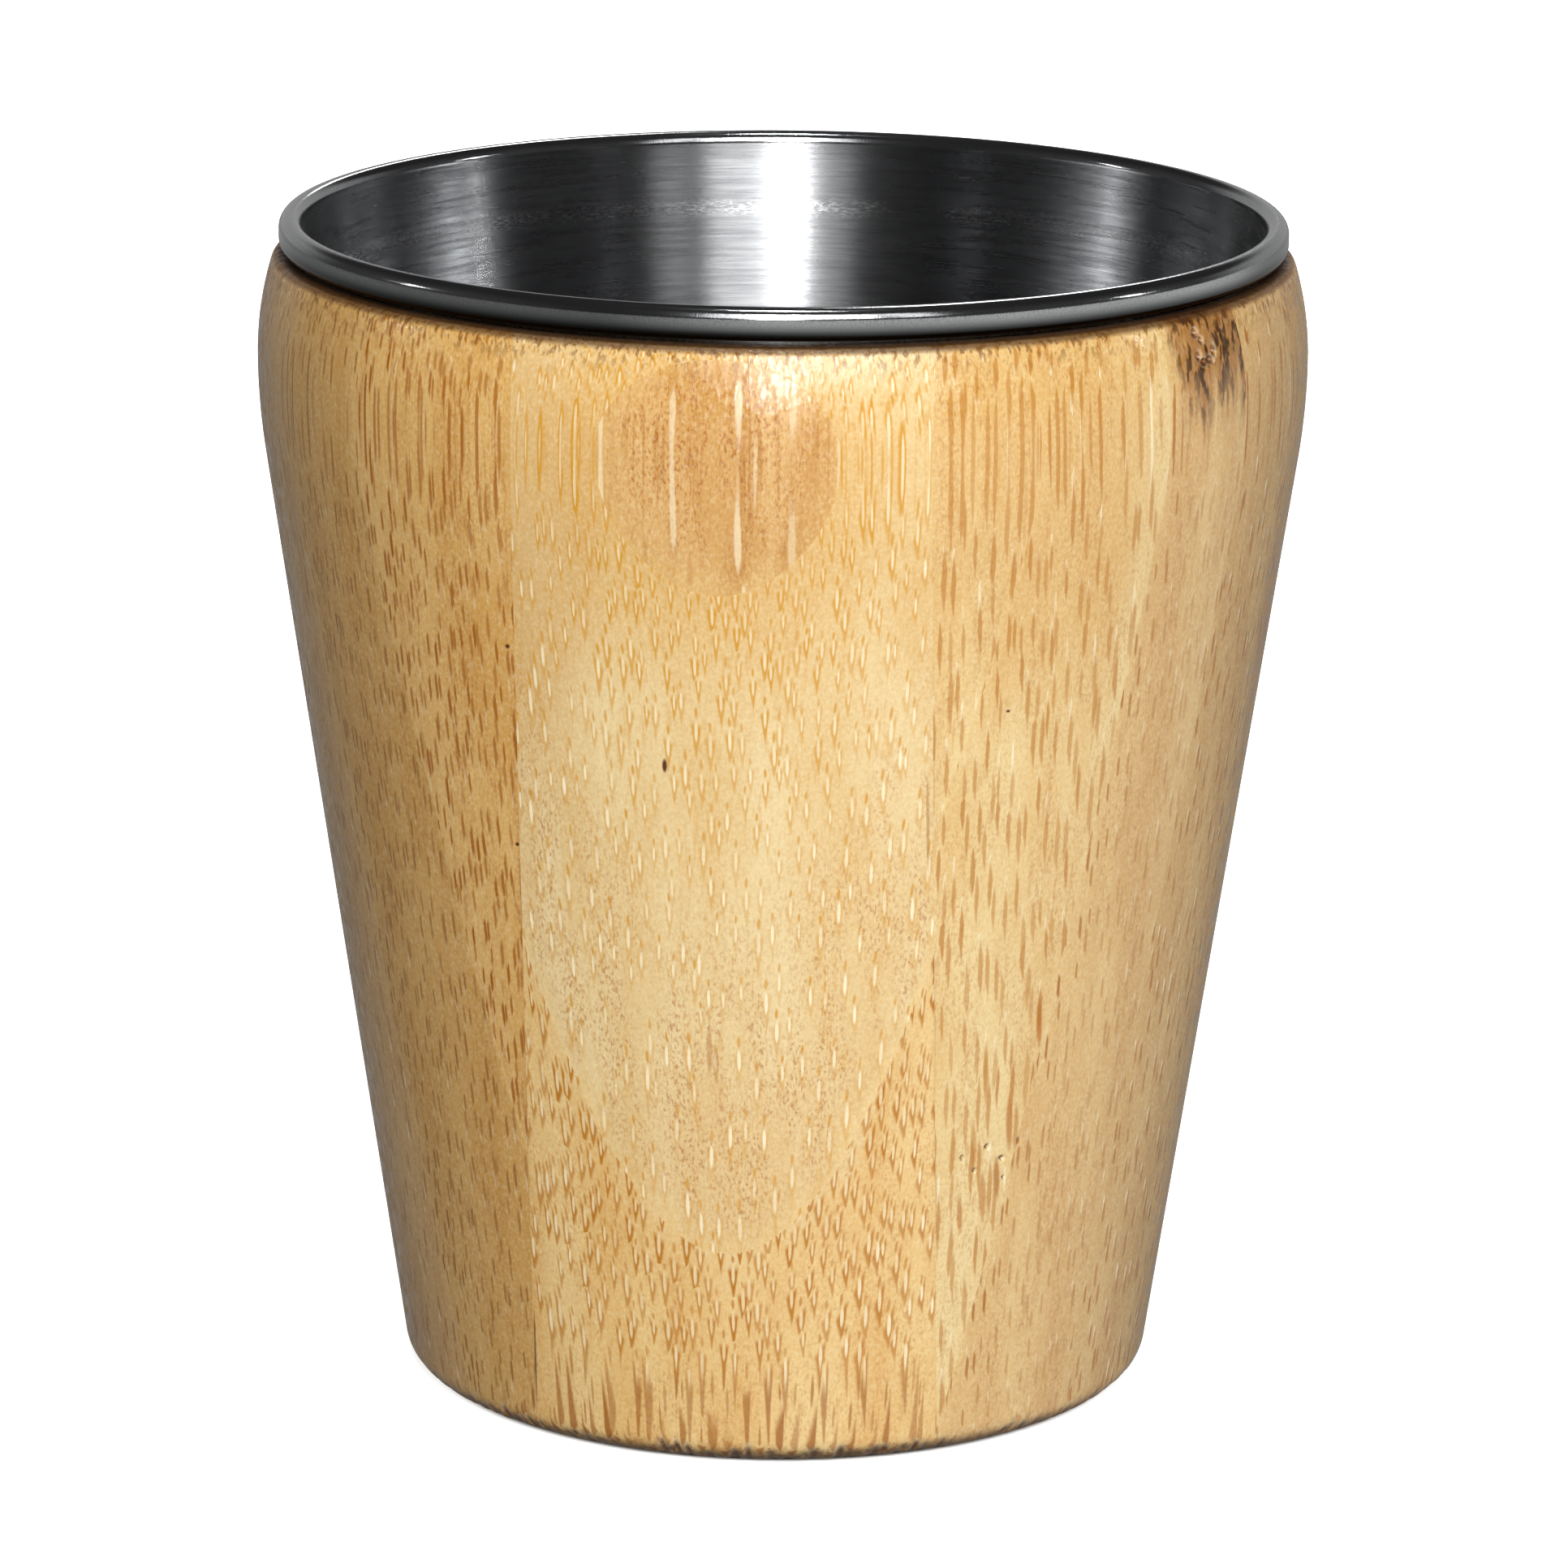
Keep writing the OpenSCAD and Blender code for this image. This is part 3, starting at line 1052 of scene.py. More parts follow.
@dataclass
class BambooShell:
    """The bamboo shell, turned from a glued block and sawn, here, back into its strips."""

    shell_d: float = 80 * MM
    shell_h: float = 87.7 * MM
    shoulder_h: float = 7.7 * MM
    bulge_round: float = 50 * MM
    shoulder_round: float = 24 * MM
    edge_round: float = 1 * MM
    wall_draw: float = 11.3 * MM
    foot_round: float = 2.6 * MM
    wall_t: float = 4.4 * MM
    floor_t: float = 7.5 * MM
    strip_w: float = 30.6 * MM
    lip_inset: float = 1.65 * MM
    lip_w: float = 1.8 * MM
    lip_h: float = 2.5 * MM
    sheet_t: float = 0.5 * MM
    liner_corner: float = 5 * MM
    liner_gap: float = 0.3 * MM

    # Steps along the section and columns per degree, closer at the front and closest at the two knots
    fine: float = 0.4 * MM
    finest: float = 0.11 * MM
    coarse: float = 2.5 * MM
    edge_step: float = 0.16 * MM
    low_knot: Step = (21.5 * MM, 26.5 * MM)
    high_knot: float = 3.2 * MM
    per_degree: float = 2.2
    front_half: float = 62.0
    front_share: float = 1.7
    knot_share: float = 3.2
    knot_sectors: tuple[Step, ...] = ((30.5, 42.0), (55.5, 61.5))
    sample: float = 0.05

    # Sawing: how near a vertex counts as on the cut, how far the block runs past the shell, the shortest edge that is
    # kept, and the angle from which an edge is sharp
    on_cut: ClassVar[float] = 1e-7
    overrun: float = 1 * MM
    shortest: float = 0.006 * MM
    sharp: float = 35.0

    # Chips along the base edge: their number, how many are at the front, and the ranges of their sizes
    chip_seed: int = 11
    chips: int = 190
    front_chips: int = 80
    front_sector: Step = (-50, 35)
    back_sector: Step = (35, 310)
    chip_ranges: tuple[Step, ...] = ((0.0, 0.8), (0.2, 0.42), (0.3, 0.9), (0.15, 0.45))
    full_dent: float = 0.4 * MM
    skin: float = 3 * MM

    # Pits at the two knots
    pits: tuple[Dent, ...] = (
        Dent(57.1, 86.4, 0.3, 0.3, 0.45), Dent(57.9, 85.8, 0.25, 0.25, 0.4), Dent(57.2, 84.7, 0.25, 0.35, 0.45),
        Dent(58.0, 84.2, 0.35, 0.25, 0.5), Dent(59.0, 84.3, 0.35, 0.25, 0.5), Dent(59.9, 84.9, 0.25, 0.4, 0.45),
        Dent(32.1, 24.6, 0.15, 0.18, 0.3), Dent(34.1, 23.4, 0.15, 0.18, 0.32), Dent(35.7, 25.2, 0.17, 0.2, 0.34),
        Dent(38.2, 24.1, 0.22, 0.17, 0.34), Dent(38.8, 22.5, 0.13, 0.15, 0.26), Dent(40.7, 25.2, 0.15, 0.35, 0.3))

    def __post_init__(self) -> None:
        """Works out the section's tangent points from the driving sizes."""
        self.shell_r = self.shell_d / 2
        self.cone_r = self.shell_r - self.wall_draw
        self.bulge_h = self.shell_h - self.shoulder_h
        self.bulge_x = self.shell_r - self.bulge_round
        reach = math.hypot(self.bulge_x - self.cone_r, self.bulge_h)
        self.lean = math.atan2(self.bulge_x - self.cone_r, self.bulge_h) + math.asin(self.bulge_round / reach)
        self.shoulder_x = self.shell_r - self.shoulder_round
        self.edge_rise = self.shoulder_h - self.edge_round
        self.edge_swing = self.shoulder_round - self.edge_round
        self.edge_turn = math.asin(self.edge_rise / self.edge_swing)
        self.land_x = self.shoulder_x + self.edge_swing * math.cos(self.edge_turn)
        self.bore_foot_r = self.cone_r + self.floor_t * math.tan(self.lean) - self.wall_t
        self.lip_r = self.shell_r - self.lip_inset
        self.roll_top = self.shell_h + self.liner_gap + self.lip_h - self.lip_w / 2
        bore_top_r = self.lip_r - self.lip_w + self.sheet_t + self.liner_gap
        self.bore_lean = math.atan2(bore_top_r - self.bore_foot_r, self.roll_top - self.floor_t)

    @staticmethod
    def corner_x(foot_r: float, lean: float, corner: float) -> float:
        """Radius at which the round of a leaning wall's foot has its centre."""
        return foot_r + corner * math.tan(lean) - corner / math.cos(lean)

    @staticmethod
    def corner_end(corner_x: float, low_z: float, lean: float, corner: float) -> tuple[float, float]:
        """Where the round of a leaning wall's foot runs into the wall."""
        return corner_x + corner * math.cos(lean), low_z + corner * (1 - math.sin(lean))

    def outside(self) -> Section:
        """Draws the section's outside: straight lines and arcs that meet without a kink.

        Returns:
            Base, foot, leaning wall, bulge, shoulder and soft top edge.
        """
        foot_x = self.corner_x(self.cone_r, self.lean, self.foot_round)
        wall_top = (self.bulge_x + self.bulge_round * math.cos(self.lean),
                    self.bulge_h - self.bulge_round * math.sin(self.lean))
        low, high = [(self.cone_r + h * math.tan(self.lean), h) for h in self.low_knot]
        pitted = math.asin(self.high_knot / self.shoulder_round)
        shoulder = (self.shoulder_x, self.bulge_h)
        section = Section()
        section.line((0, 0), (foot_x, 0), self.coarse)
        section.arc((foot_x, self.foot_round), self.foot_round, -math.pi / 2, -self.lean, self.edge_step)
        section.line(self.corner_end(foot_x, 0, self.lean, self.foot_round), low, self.fine)
        section.line(low, high, self.finest)
        section.line(high, wall_top, self.fine)
        section.arc((self.bulge_x, self.bulge_h), self.bulge_round, -self.lean, 0, self.fine)
        section.arc(shoulder, self.shoulder_round, 0, pitted, self.fine)
        section.arc(shoulder, self.shoulder_round, pitted, self.edge_turn, self.finest)
        section.arc((self.land_x, self.bulge_h + self.edge_rise), self.edge_round, self.edge_turn, math.pi / 2,
                    self.edge_step)
        return section

    def rows(self) -> np.ndarray:
        """Draws the whole section: the outside, the top land and the bore back to the axis.

        Returns:
            Rows of radius and height.
        """
        corner = self.liner_corner + self.sheet_t
        corner_x = self.corner_x(self.bore_foot_r, self.bore_lean, corner)
        bore_top = (self.bore_foot_r + (self.shell_h - self.floor_t) * math.tan(self.bore_lean), self.shell_h)
        section = self.outside()
        section.line((self.land_x, self.shell_h), bore_top, self.edge_step * 2)
        section.line(bore_top, self.corner_end(corner_x, self.floor_t, self.bore_lean, corner), self.coarse)
        section.arc((corner_x, self.floor_t + corner), corner, -self.bore_lean, -math.pi / 2, self.coarse / 2)
        section.line((corner_x, self.floor_t), (0, self.floor_t), self.coarse)
        return section.rows((0, self.floor_t))

    def round_steps(self) -> np.ndarray:
        """The columns' places round the axis.

        The number of columns up to an angle is the running sum of a density that is higher along the front of the
        base edge and at the two knots, and the places are where that sum passes the whole numbers.

        Returns:
            Angles in radians from +X, rising.
        """
        degrees = np.arange(-90, 270, self.sample)
        from_front = (degrees + 90 + 180) % 360 - 180
        density = np.where(np.abs(from_front) < self.front_half, self.per_degree * self.front_share, self.per_degree)
        for low, high in self.knot_sectors:
            inside = (from_front > low) & (from_front < high)
            density = np.where(inside, self.per_degree * self.knot_share, density)
        total = np.concatenate([[0], np.cumsum(density) * self.sample])
        count = int(total[-1])
        return np.radians(np.interp(np.arange(count) * total[-1] / count, total, np.append(degrees, 270)))

    def dents(self) -> list[Dent]:
        """Lists the dents.

        Returns:
            The pits at the knots, listed one by one, and the chips that turning tears out of the base edge.
        """
        luck = np.random.default_rng(self.chip_seed)
        angles = np.concatenate([luck.uniform(*self.front_sector, self.front_chips),
                                 luck.uniform(*self.back_sector, self.chips - self.front_chips)])
        sizes = [luck.uniform(low, high, self.chips) for low, high in self.chip_ranges]
        return [*self.pits, *(Dent(*chip) for chip in zip(angles, *sizes))]

    def relieved(self, turning: Turning) -> Turning:
        """Presses the dents in: each is a bell whose depth falls off with the square of the distance over its size.

        Args:
            turning: the smooth shell.

        Returns:
            The same shell with its dents, and with how far each vertex is pressed in.
        """
        points = turning.points
        radius = np.hypot(points[:, 0], points[:, 1])
        outer = np.flatnonzero(radius > self.cone_r + (points[:, 2] * math.tan(self.lean)) - self.skin)
        place, away = points[outer], radius[outer]
        angle = np.arctan2(place[:, 0], -place[:, 1])
        depth = np.zeros(len(outer))
        for dent in self.dents():
            turn = (angle - math.radians(dent.angle) + math.pi) % (2 * math.pi) - math.pi
            up = place[:, 2] - dent.height * MM
            off = (turn * away / (dent.width * MM)) ** 2 + (up / (dent.length * MM)) ** 2
            depth = np.maximum(depth, dent.depth * MM * np.exp(-off))
        points[outer, :2] = place[:, :2] * (1 - depth / np.maximum(away, MM))[:, None]
        turning.dents = np.zeros(len(points))
        turning.dents[outer] = np.minimum(depth / self.full_dent, 1.0)
        return turning

    def plan(self) -> list[Column]:
        """Lays out the strips.

        Returns:
            The three columns, in the order in which they are built.
        """
        seam = self.strip_w / 2
        block = self.shell_r + self.overrun
        side = math.sqrt(self.shell_r ** 2 - seam ** 2)
        return [
            Column("centre", -seam, seam, self.shell_r, count=12, front=1 * MM, back=2 * MM, bark=Bark.FRONT, seed=11),
            Column("left", -block, -seam, side, count=9, front=8.56 * MM, back=4.46 * MM, bark=Bark.BACK, seed=47),
            Column("right", seam, block, side, count=10, front=4.06 * MM, back=4.26 * MM, bark=Bark.FRONT, seed=83),
        ]

    @staticmethod
    def _saw(body: bmesh.types.BMesh, place: Sequence[float], away: Sequence[float]) -> None:
        """Saws off what lies beyond a plane and closes the cut with flat faces.

        Args:
            body: what is sawn.
            place: a point of the plane.
            away: the direction of the side that falls off.
        """
        everything = body.verts[:] + body.edges[:] + body.faces[:]
        cut = bmesh.ops.bisect_plane(body, geom=everything, dist=BambooShell.on_cut, plane_co=place, plane_no=away,
                                     clear_outer=True)
        edges = [e for e in cut["geom_cut"] if isinstance(e, bmesh.types.BMEdge)]
        if edges:
            lids = bmesh.ops.edgeloop_fill(body, edges=edges, mat_nr=0, use_smooth=False)["faces"]
            bmesh.ops.triangulate(body, faces=lids, quad_method="BEAUTY", ngon_method="BEAUTY")

    def strip(self, turning: Turning, column: Column, layer: int) -> bpy.types.Object:
        """Saws one strip out of the turned surface, between its glue lines and its seams.

        Args:
            turning: the whole shell.
            column: the strip's column.
            layer: its place from the front, counted from 1.

        Returns:
            The strip's object.
        """
        name = f"{column.title}_strip_{layer}"
        low = -self.shell_r - self.overrun if layer == 1 else column.glue_y(layer - 1)
        high = self.shell_r + self.overrun if layer == column.count else column.glue_y(layer)
        slab = turning.mesh(name, (low, high))
        body = bmesh.new()
        body.from_mesh(slab)
        bpy.data.meshes.remove(slab)
        if layer > 1:
            self._saw(body, (0, low, 0), (0, -1, 0))
        if layer < column.count:
            self._saw(body, (0, high, 0), (0, 1, 0))
        if column.title != "left":
            self._saw(body, (column.left, 0, 0), (-1, 0, 0))
        if column.title != "right":
            self._saw(body, (column.right, 0, 0), (1, 0, 0))
        bmesh.ops.collapse(body, edges=[e for e in body.edges if e.calc_length() < self.shortest], uvs=False)
        bmesh.ops.delete(body, geom=[v for v in body.verts if not v.link_faces], context="VERTS")
        bmesh.ops.triangulate(body, faces=body.faces[:])
        bmesh.ops.recalc_face_normals(body, faces=body.faces[:])
        made = bpy.data.meshes.new(name)
        body.to_mesh(made)
        body.free()
        made.set_sharp_from_angle(angle=math.radians(self.sharp))
        strip = bpy.data.objects.new(f"bamboo_{name}", made)
        bpy.context.scene.collection.objects.link(strip)
        return strip

    def finish_of(self, column: Column, layer: int) -> BambooFinish:
        """Chooses a strip's finish by its glue lines, the way its bark faces, and the tone that its place shows.

        Args:
            column: the strip's column.
            layer: its place from the front, counted from 1.

        Returns:
            The finish.
        """
        behind = column.glue_y(layer) if layer < column.count else column.glue_y(layer - 1) + column.thickness
        before = self.facing(column, layer - 1, Bark.BACK) if layer > 1 else None
        after = self.facing(column, layer + 1, Bark.FRONT) if layer < column.count else None
        base = BambooFinish((behind - column.thickness) / MM, behind / MM, column.left / MM, column.right / MM,
                            column.bark, column.seed + column.seed_step * layer, before, after)
        return replace(base, **self.tones(column, layer))

    @staticmethod
    def tones(column: Column, layer: int) -> dict[str, Any]:
        """The tones and the pattern that a strip has by its place."""
        plain = PLAIN_TONES[column.title]
        return TONES.get((column.title, layer), plain[layer % len(plain)])

    def facing(self, column: Column, layer: int, face: Bark) -> str:
        """The tone of a strip at one of its faces: its rind where the bark is, or else its straw."""
        tones = self.tones(column, layer)
        return tones.get("rind", tones["straw"]) if column.bark is face else tones["straw"]

    def build(self) -> None:
        """Turns the shell, saws it into strips and dresses each one."""
        turning = self.relieved(Turning.from_rows(self.rows(), self.round_steps()))
        for column in self.plan():
            for layer in range(1, column.count + 1):
                strip = self.strip(turning, column, layer)
                node = f"{column.title}_strip_{layer}"
                strip.data.materials.append(self.finish_of(column, layer).material(f"bamboo_{node}"))
                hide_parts(node)
                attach(strip, "shell")
                LOG.info("%s: %d faces", strip.name, len(strip.data.polygons))


def plain_tones(pattern: dict[str, Any], *codes: tuple[str, str, str]) -> list[dict[str, Any]]:
    """Tones that the strips of a column take in turn: one pattern, each with its own straw, shade and sheath."""
    return [{**pattern, "straw": straw, "shade": shade, "sheath": sheath} for straw, shade, sheath in codes]


# Tones of the strips that have no entry of their own, by column
PLAIN_TONES: dict[str, list[dict[str, Any]]] = {
    "centre": plain_tones(
        {"sheath_strength": 1.0, "fade": 0.15, "across": 1.0, "bark_gap": 0.4, "pith_gap": 1.0, "bundle": 1.05},
        ("e4c388", "d6ad6e", "bd7c06"), ("e8ca90", "dab578", "c5880a"), ("debb7c", "d0a463", "b06f06")),
    "left": plain_tones(
        {"sheath_strength": 0.95, "fade": 0.3, "cut": Cut.SPINDLE, "tall": 0.75, "pith_gap": 0.9, "bundle": 0.85},
        ("d9b175", "cba062", "945604"), ("d3a96b", "c59757", "8c5004"), ("ddb87d", "cfa569", "9c6008")),
    "right": plain_tones(
        {"sheath_strength": 1.0, "fade": 0.2, "cut": Cut.SPINDLE, "tall": 0.75, "pith_gap": 1.0, "bundle": 0.95},
        ("e1be80", "d2a868", "b47008"), ("dbb676", "cca05e", "ac6808"), ("d7af6c", "c79856", "a46006")),
}

# What the two front strips of the right column share
RIGHT_FRONT: dict[str, Any] = {
    "straw": "e9cf94", "shade": "e0bc7c", "sheath": "b47000", "sheath_strength": 0.8, "lines": 0.25,
    "cut": Cut.SPINDLE, "pith_gap": 0.9, "across": 1.0, "bark_gap": 0.55, "bundle": 0.96, "tall": 1.3, "fade": 0.1,
    # The patch is painted shade: it darkens the upper right of the wall, whose face turns up towards the key light
    "core_strength": 0.7, "patches": (Mark(22.0, 78.0, 9.0, 20.0, 0.5, "d09c4e"),)}

# Tones of the strips that the photograph shows best, by column and layer
TONES: dict[tuple[str, int], dict[str, Any]] = {
    ("centre", 1): {
        "straw": "d9ae6d", "shade": "cc9a54", "sheath": "b0701a", "speckle": 0.8, "lines": 0.6, "across": 1.5,
        "bark_gap": 1.5, "pith_gap": 1.8, "bundle": 1.8, "tall": 1.3, "sheath_strength": 0.4, "core_strength": 0.55},
    ("centre", 2): {
        "straw": "e9d09b", "shade": "e1c084", "rind": "dab06c", "sheath": "cf9218", "sheath_strength": 0.95,
        "fade": 0.55, "fade_by": 0.6, "cap": 0.9, "speckle": 0.6, "speckle_from": 0.45, "lines": 0.3, "across": 0.92,
        "bark_gap": 0.37, "pith_gap": 1.35, "bundle": 0.98, "rind_strength": 0.8, "core_strength": 0.85,
        "patches": (Mark(-13.5, 74.0, 5.5, 18.0, 0.5, "cf9c52"), Mark(14.0, 76.0, 3.5, 14.0, 0.3, "d6a860"),
                    Mark(0.0, 22.0, 11.0, 12.0, 0.25, "d8a862")),
        "marks": (Mark(-4.0, 56.3, 0.2, 0.6), Mark(-1.0, 34.0, 0.22, 2.2, 0.45, "a8661c"),
                  Mark(-0.5, 33.0, 0.2, 1.6, 0.4, "a8661c"), Mark(14.9, 51.6, 0.12, 4.0, 0.5, "9a6420"))},
    ("centre", 3): {
        "straw": "eccb8b", "shade": "e0b26a", "sheath": "b87408", "sheath_strength": 1.0, "fade": 0.1, "across": 1.0,
        "bark_gap": 0.37, "pith_gap": 1.0, "bundle": 1.1, "settle": 0.1, "core_strength": 0.75,
        "marks": (Mark(-15.2, 6.8, 0.1, 4.4, 0.75),)},
    ("left", 1): {
        "straw": "dfb46c", "shade": "d29f52", "sheath": "a05a00", "sheath_strength": 1.0, "fade": 0.1,
        "core_strength": 0.3, "cut": Cut.SPINDLE, "across": 0.66, "bark_gap": 0.4, "pith_gap": 0.62, "bundle": 0.9,
        "tall": 0.75, "growth": 0.2, "lines": 0.45,
        "marks": (Mark(-15.85, 64.3, 0.2, 0.2), Mark(-15.5, 48.8, 0.18, 0.18))},
    ("left", 2): {
        "straw": "d4a964", "shade": "c8984e", "sheath": "8c5000", "sheath_strength": 0.9, "core_strength": 0.3,
        "cut": Cut.SPINDLE, "across": 0.66, "bark_gap": 0.4, "pith_gap": 0.7, "bundle": 0.75, "tall": 0.7,
        "fade": 0.2, "lines": 0.3},
    ("right", 1): RIGHT_FRONT,
    ("right", 2): {
        **RIGHT_FRONT,
        "marks": (Mark(20.5, 60.0, 0.16, 0.12), Mark(20.5, 26.8, 0.24, 2.4, 0.75, "b46c06"),
                  Mark(18.0, 25.4, 0.22, 2.2, 0.6, "b87406"), Mark(19.6, 22.5, 0.24, 1.9, 0.8, "ac6604"),
                  Mark(18.6, 21.2, 0.28, 2.2, 0.65, "b46c06"), Mark(17.0, 19.9, 0.22, 1.6, 0.7, "b46c06"),
                  Mark(22.6, 34.7, 0.22, 2.2, 0.8, "b46c06"), Mark(18.9, 30.8, 0.22, 2.4, 0.6, "b87406"))},
    ("right", 3): {
        "straw": "e1be80", "shade": "d5ab6c", "sheath": "a8660a", "sheath_strength": 0.9, "lines": 0.3,
        "core_strength": 0.4, "cut": Cut.SPINDLE, "across": 0.8, "bundle": 0.8, "tall": 0.9, "pith_gap": 0.9,
        "knot": Knot(87.0, 9.0), "marks": (Mark(30.1, 29.8, 0.13, 0.13),)},
}


@dataclass
class SteelLiner:
    """The drawn steel liner: a conical cup with a rolled lip that is tucked under."""

    shell: BambooShell
    columns: int = 400
    fine: float = 0.09 * MM
    coarse: float = 1.8 * MM
    sharp: float = 50.0

    def rows(self) -> np.ndarray:
        """Draws the sheet's closed section: up the outside, round the inner and outer curl, and down the inside.

        Returns:
            Rows of radius and height.
        """
        shell = self.shell
        lean, sheet, top = shell.bore_lean, shell.sheet_t, shell.roll_top
        low = shell.floor_t + shell.liner_gap
        inside_low = low + sheet
        foot_r = shell.bore_foot_r + shell.liner_gap * math.tan(lean) - shell.liner_gap
        inside_r = foot_r + sheet * math.tan(lean) - sheet
        outer, inner = shell.liner_corner + sheet, shell.liner_corner
        outer_x = shell.corner_x(foot_r, lean, outer)
        inner_x = shell.corner_x(inside_r, lean, inner)
        outer_top = (foot_r + (top - low) * math.tan(lean), top)
        inner_top = (inside_r + (top - inside_low) * math.tan(lean), top)
        roll = shell.lip_w / 2
        hollow = roll - sheet
        x = shell.lip_r - roll
        tuck = shell.shell_h + shell.liner_gap + roll
        section = Section()
        section.line((0, low), (outer_x, low), self.coarse)
        section.arc((outer_x, low + outer), outer, -math.pi / 2, -lean, self.coarse / 2)
        section.line(shell.corner_end(outer_x, low, lean, outer), outer_top, self.coarse)
        section.arc((x, top), hollow, math.pi, 0, self.fine)
        section.line((x + hollow, top), (x + hollow, tuck), self.fine * 3)
        section.arc((x, tuck), hollow, 0, -math.pi / 2, self.fine)
        section.line((x, tuck - hollow), (x, tuck - roll), self.fine * 3)
        section.arc((x, tuck), roll, -math.pi / 2, 0, self.fine)
        section.line((x + roll, tuck), (x + roll, top), self.fine)
        section.arc((x, top), roll, 0, math.pi, self.fine)
        section.line(inner_top, shell.corner_end(inner_x, inside_low, lean, inner), self.coarse)
        section.arc((inner_x, inside_low + inner), inner, -lean, -math.pi / 2, self.coarse / 4)
        section.line((inner_x, inside_low), (0, inside_low), self.coarse)
        return section.rows((0, inside_low))

    def build(self) -> None:
        """Turns the sheet and dresses it."""
        angle = np.arange(self.columns) * (2 * math.pi / self.columns)
        made = Turning.from_rows(self.rows(), angle).mesh("steel_liner_sheet")
        made.set_sharp_from_angle(angle=math.radians(self.sharp))
        liner = bpy.data.objects.new("steel_liner_sheet", made)
        bpy.context.scene.collection.objects.link(liner)
        for wear in Wear:
            liner.data.materials.append(SteelFinish(wear).material(f"{wear.name.lower()}_steel"))
        middles = np.empty(len(made.polygons) * 3)
        made.polygons.foreach_get("center", middles)
        x, y, z = middles.reshape(-1, 3).T
        rolled = np.hypot(x, y) > self.shell.lip_r - self.shell.lip_w + self.shell.sheet_t
        polished = (z > self.shell.shell_h) & (rolled | (z > self.shell.roll_top))
        made.polygons.foreach_set("material_index", polished.astype(np.int32))
        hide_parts("steel_liner")
        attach(liner, "liner")
        LOG.info("%s: %d faces", liner.name, len(made.polygons))


@dataclass(frozen=True)
class Lamp:
    """A soft light at one distance from the cup.

    Azimuth and elevation give its direction in degrees, width and height the size of its face, and glossy says
    whether gloss shows it.
    """

    name: str
    azimuth: float
    elevation: float
    width: float
    height: float
    watts: float
    glossy: bool = True
    distance: ClassVar[float] = 0.80


def seen_from(azimuth: float, elevation: float) -> Vector:
    """The direction from the cup to a place: azimuth is measured from the front towards +X."""
    a, e = math.radians(azimuth), math.radians(elevation)
    return Vector((math.sin(a) * math.cos(e), -math.cos(a) * math.cos(e), math.sin(e)))


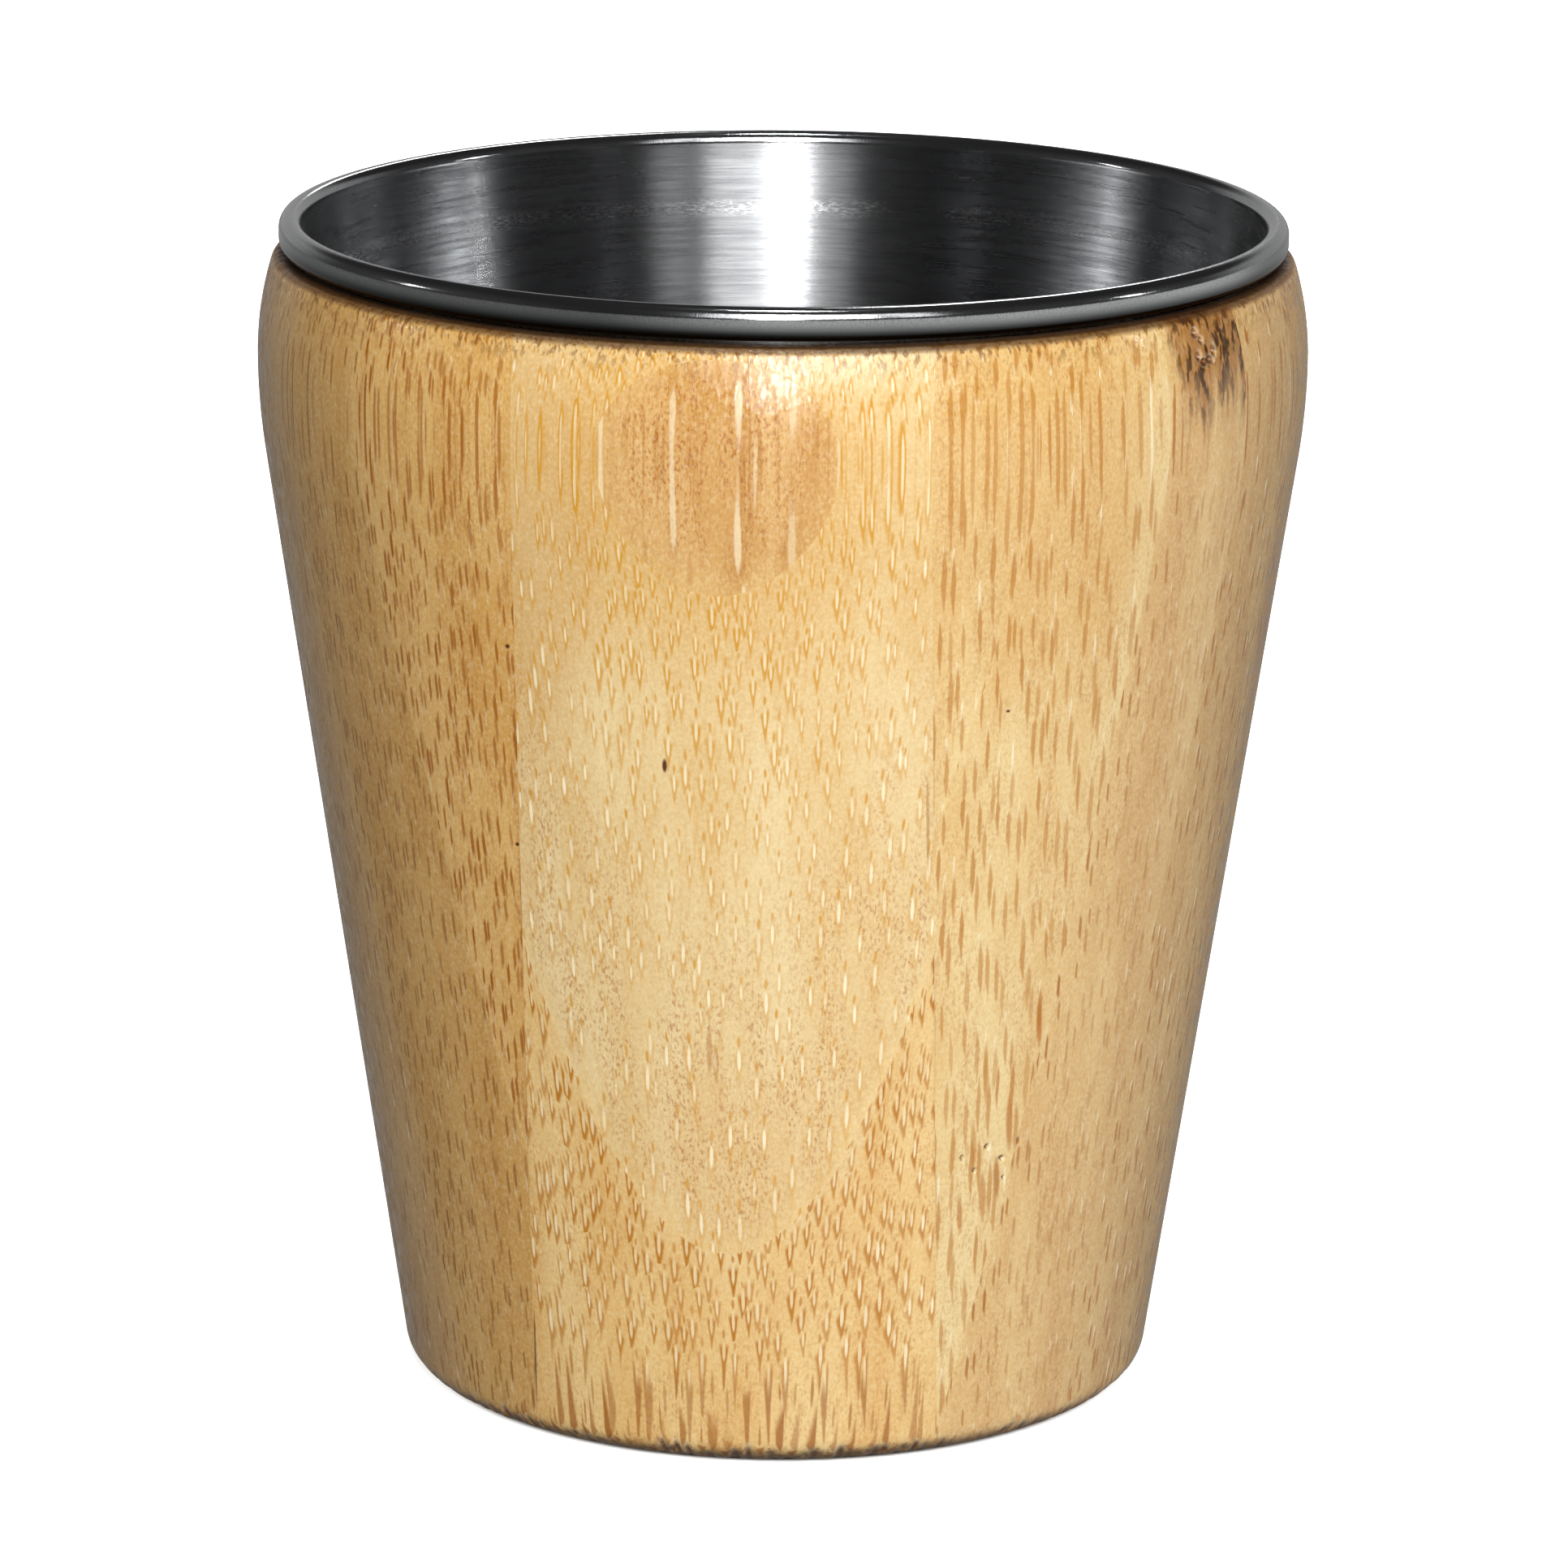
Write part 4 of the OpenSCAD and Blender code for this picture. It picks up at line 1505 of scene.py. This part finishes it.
@dataclass
class Studio:
    """A plain pale floor, soft light and the camera at the photograph's angle."""

    floor_half: float = 4.0
    floor_cells: int = 8
    floor_drop: float = 0.02 * MM
    azimuth: float = 6.8
    elevation: float = 14.41
    distance: float = 609.8 * MM
    aim_h: float = 45.73 * MM
    pan: float = 0.35 * MM
    roll: float = 0.462
    sensor: float = 36.0
    lens: float = 180.92
    near: float = 0.01
    far: float = 50.0
    spot_h: float = 620 * MM
    spot_r: float = 50 * MM
    spot_reach: float = 31 * MM
    spot_watts: float = 9.0
    spot_blend: float = 0.3
    mouth_h: float = 91.46 * MM
    lamps: tuple[Lamp, ...] = (
        Lamp("key", 5.5, 29.5, 0.115, 0.64, 4.2),
        Lamp("mid_key", 14.4, 33.0, 0.12, 0.50, 1.3),
        Lamp("second_key", 23.0, 33.0, 0.10, 0.50, 1.1),
        Lamp("third_key", 36.6, 33.0, 0.12, 0.50, 0.4),
        Lamp("glow", -6.0, 33.0, 0.12, 0.50, 0.4),
        Lamp("right_side", 91.5, 18.0, 0.006, 0.14, 0.17),
        Lamp("left_side", -84.2, 18.0, 0.006, 0.14, 0.15),
        Lamp("back_fill", 180.0, 30.0, 0.45, 0.45, 4.6, False),
        Lamp("back_key", 180.0, 36.0, 0.05, 0.40, 0.6),
    )

    def floor(self) -> None:
        """Lays the floor: a flat square of a few faces, a hair below the base."""
        side = np.linspace(-self.floor_half, self.floor_half, self.floor_cells + 1)
        x, y = np.meshgrid(side, side)
        points = np.stack([x, y, np.full_like(x, -self.floor_drop)], axis=2).reshape(-1, 3)
        index = np.arange(x.size).reshape(x.shape)
        faces = np.stack([index[:-1, :-1], index[:-1, 1:], index[1:, 1:], index[1:, :-1]], axis=2).reshape(-1, 4)
        made = bpy.data.meshes.new("floor")
        made.from_pydata(points.tolist(), [], faces.tolist())
        floor = bpy.data.objects.new("floor", made)
        floor.data.materials.append(FloorFinish().material("pale_floor"))
        floor.visible_diffuse = False
        floor.visible_glossy = False
        bpy.context.scene.collection.objects.link(floor)

    @staticmethod
    def hang(data: bpy.types.Light) -> bpy.types.Object:
        """Hangs a light that the camera itself doesn't see.

        Args:
            data: the light.

        Returns:
            Its object, at the origin.
        """
        made = bpy.data.objects.new(data.name, data)
        made.visible_camera = False
        bpy.context.scene.collection.objects.link(made)
        return made

    def light(self) -> None:
        """Hangs the lamps, with a spot into the cup, and sets the soft light of the room."""
        for lamp in self.lamps:
            data = bpy.data.lights.new(lamp.name, "AREA")
            data.shape = "RECTANGLE"
            data.size, data.size_y, data.energy = lamp.width, lamp.height, lamp.watts
            made = self.hang(data)
            made.visible_glossy = lamp.glossy
            towards = seen_from(lamp.azimuth, lamp.elevation)
            made.location = Vector((0, 0, self.aim_h)) + towards * lamp.distance
            made.rotation_euler = towards.to_track_quat("Z", "Y").to_euler()
        spot = bpy.data.lights.new("into_cup", "SPOT")
        spot.energy, spot.shadow_soft_size, spot.spot_blend = self.spot_watts, self.spot_r, self.spot_blend
        spot.spot_size = 2 * math.atan(self.spot_reach / (self.spot_h - self.mouth_h))
        self.hang(spot).location = (0, 0, self.spot_h)
        bpy.context.scene.world = RoomFinish().world("studio")

    def camera(self) -> None:
        """Stands the camera at the photograph's angle, with the small roll that the photograph has."""
        back = seen_from(self.azimuth, self.elevation)
        a = math.radians(self.azimuth)
        right = Vector((math.cos(a), math.sin(a), 0))
        up = back.cross(right)
        aim = Vector((0, 0, self.aim_h)) + right * self.pan
        data = bpy.data.cameras.new("camera")
        data.sensor_width, data.lens = self.sensor, self.lens
        data.clip_start, data.clip_end = self.near, self.far
        made = bpy.data.objects.new("camera", data)
        turn = Matrix((right, up, back)).transposed().to_4x4() @ Matrix.Rotation(math.radians(self.roll), 4, "Z")
        made.matrix_world = Matrix.Translation(aim + back * self.distance) @ turn
        bpy.context.scene.collection.objects.link(made)
        bpy.context.scene.camera = made

    def build(self) -> None:
        """Builds the floor, the light and the camera."""
        self.floor()
        self.light()
        self.camera()
        bpy.context.scene.view_settings.view_transform = "Standard"


def main() -> None:
    """Builds the cup and its studio."""
    logging.basicConfig(level=logging.INFO, format="%(name)s: %(message)s")
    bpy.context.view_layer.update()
    shell = BambooShell()
    shell.build()
    SteelLiner(shell).build()
    Studio().build()


if __name__ == "__main__":
    main()
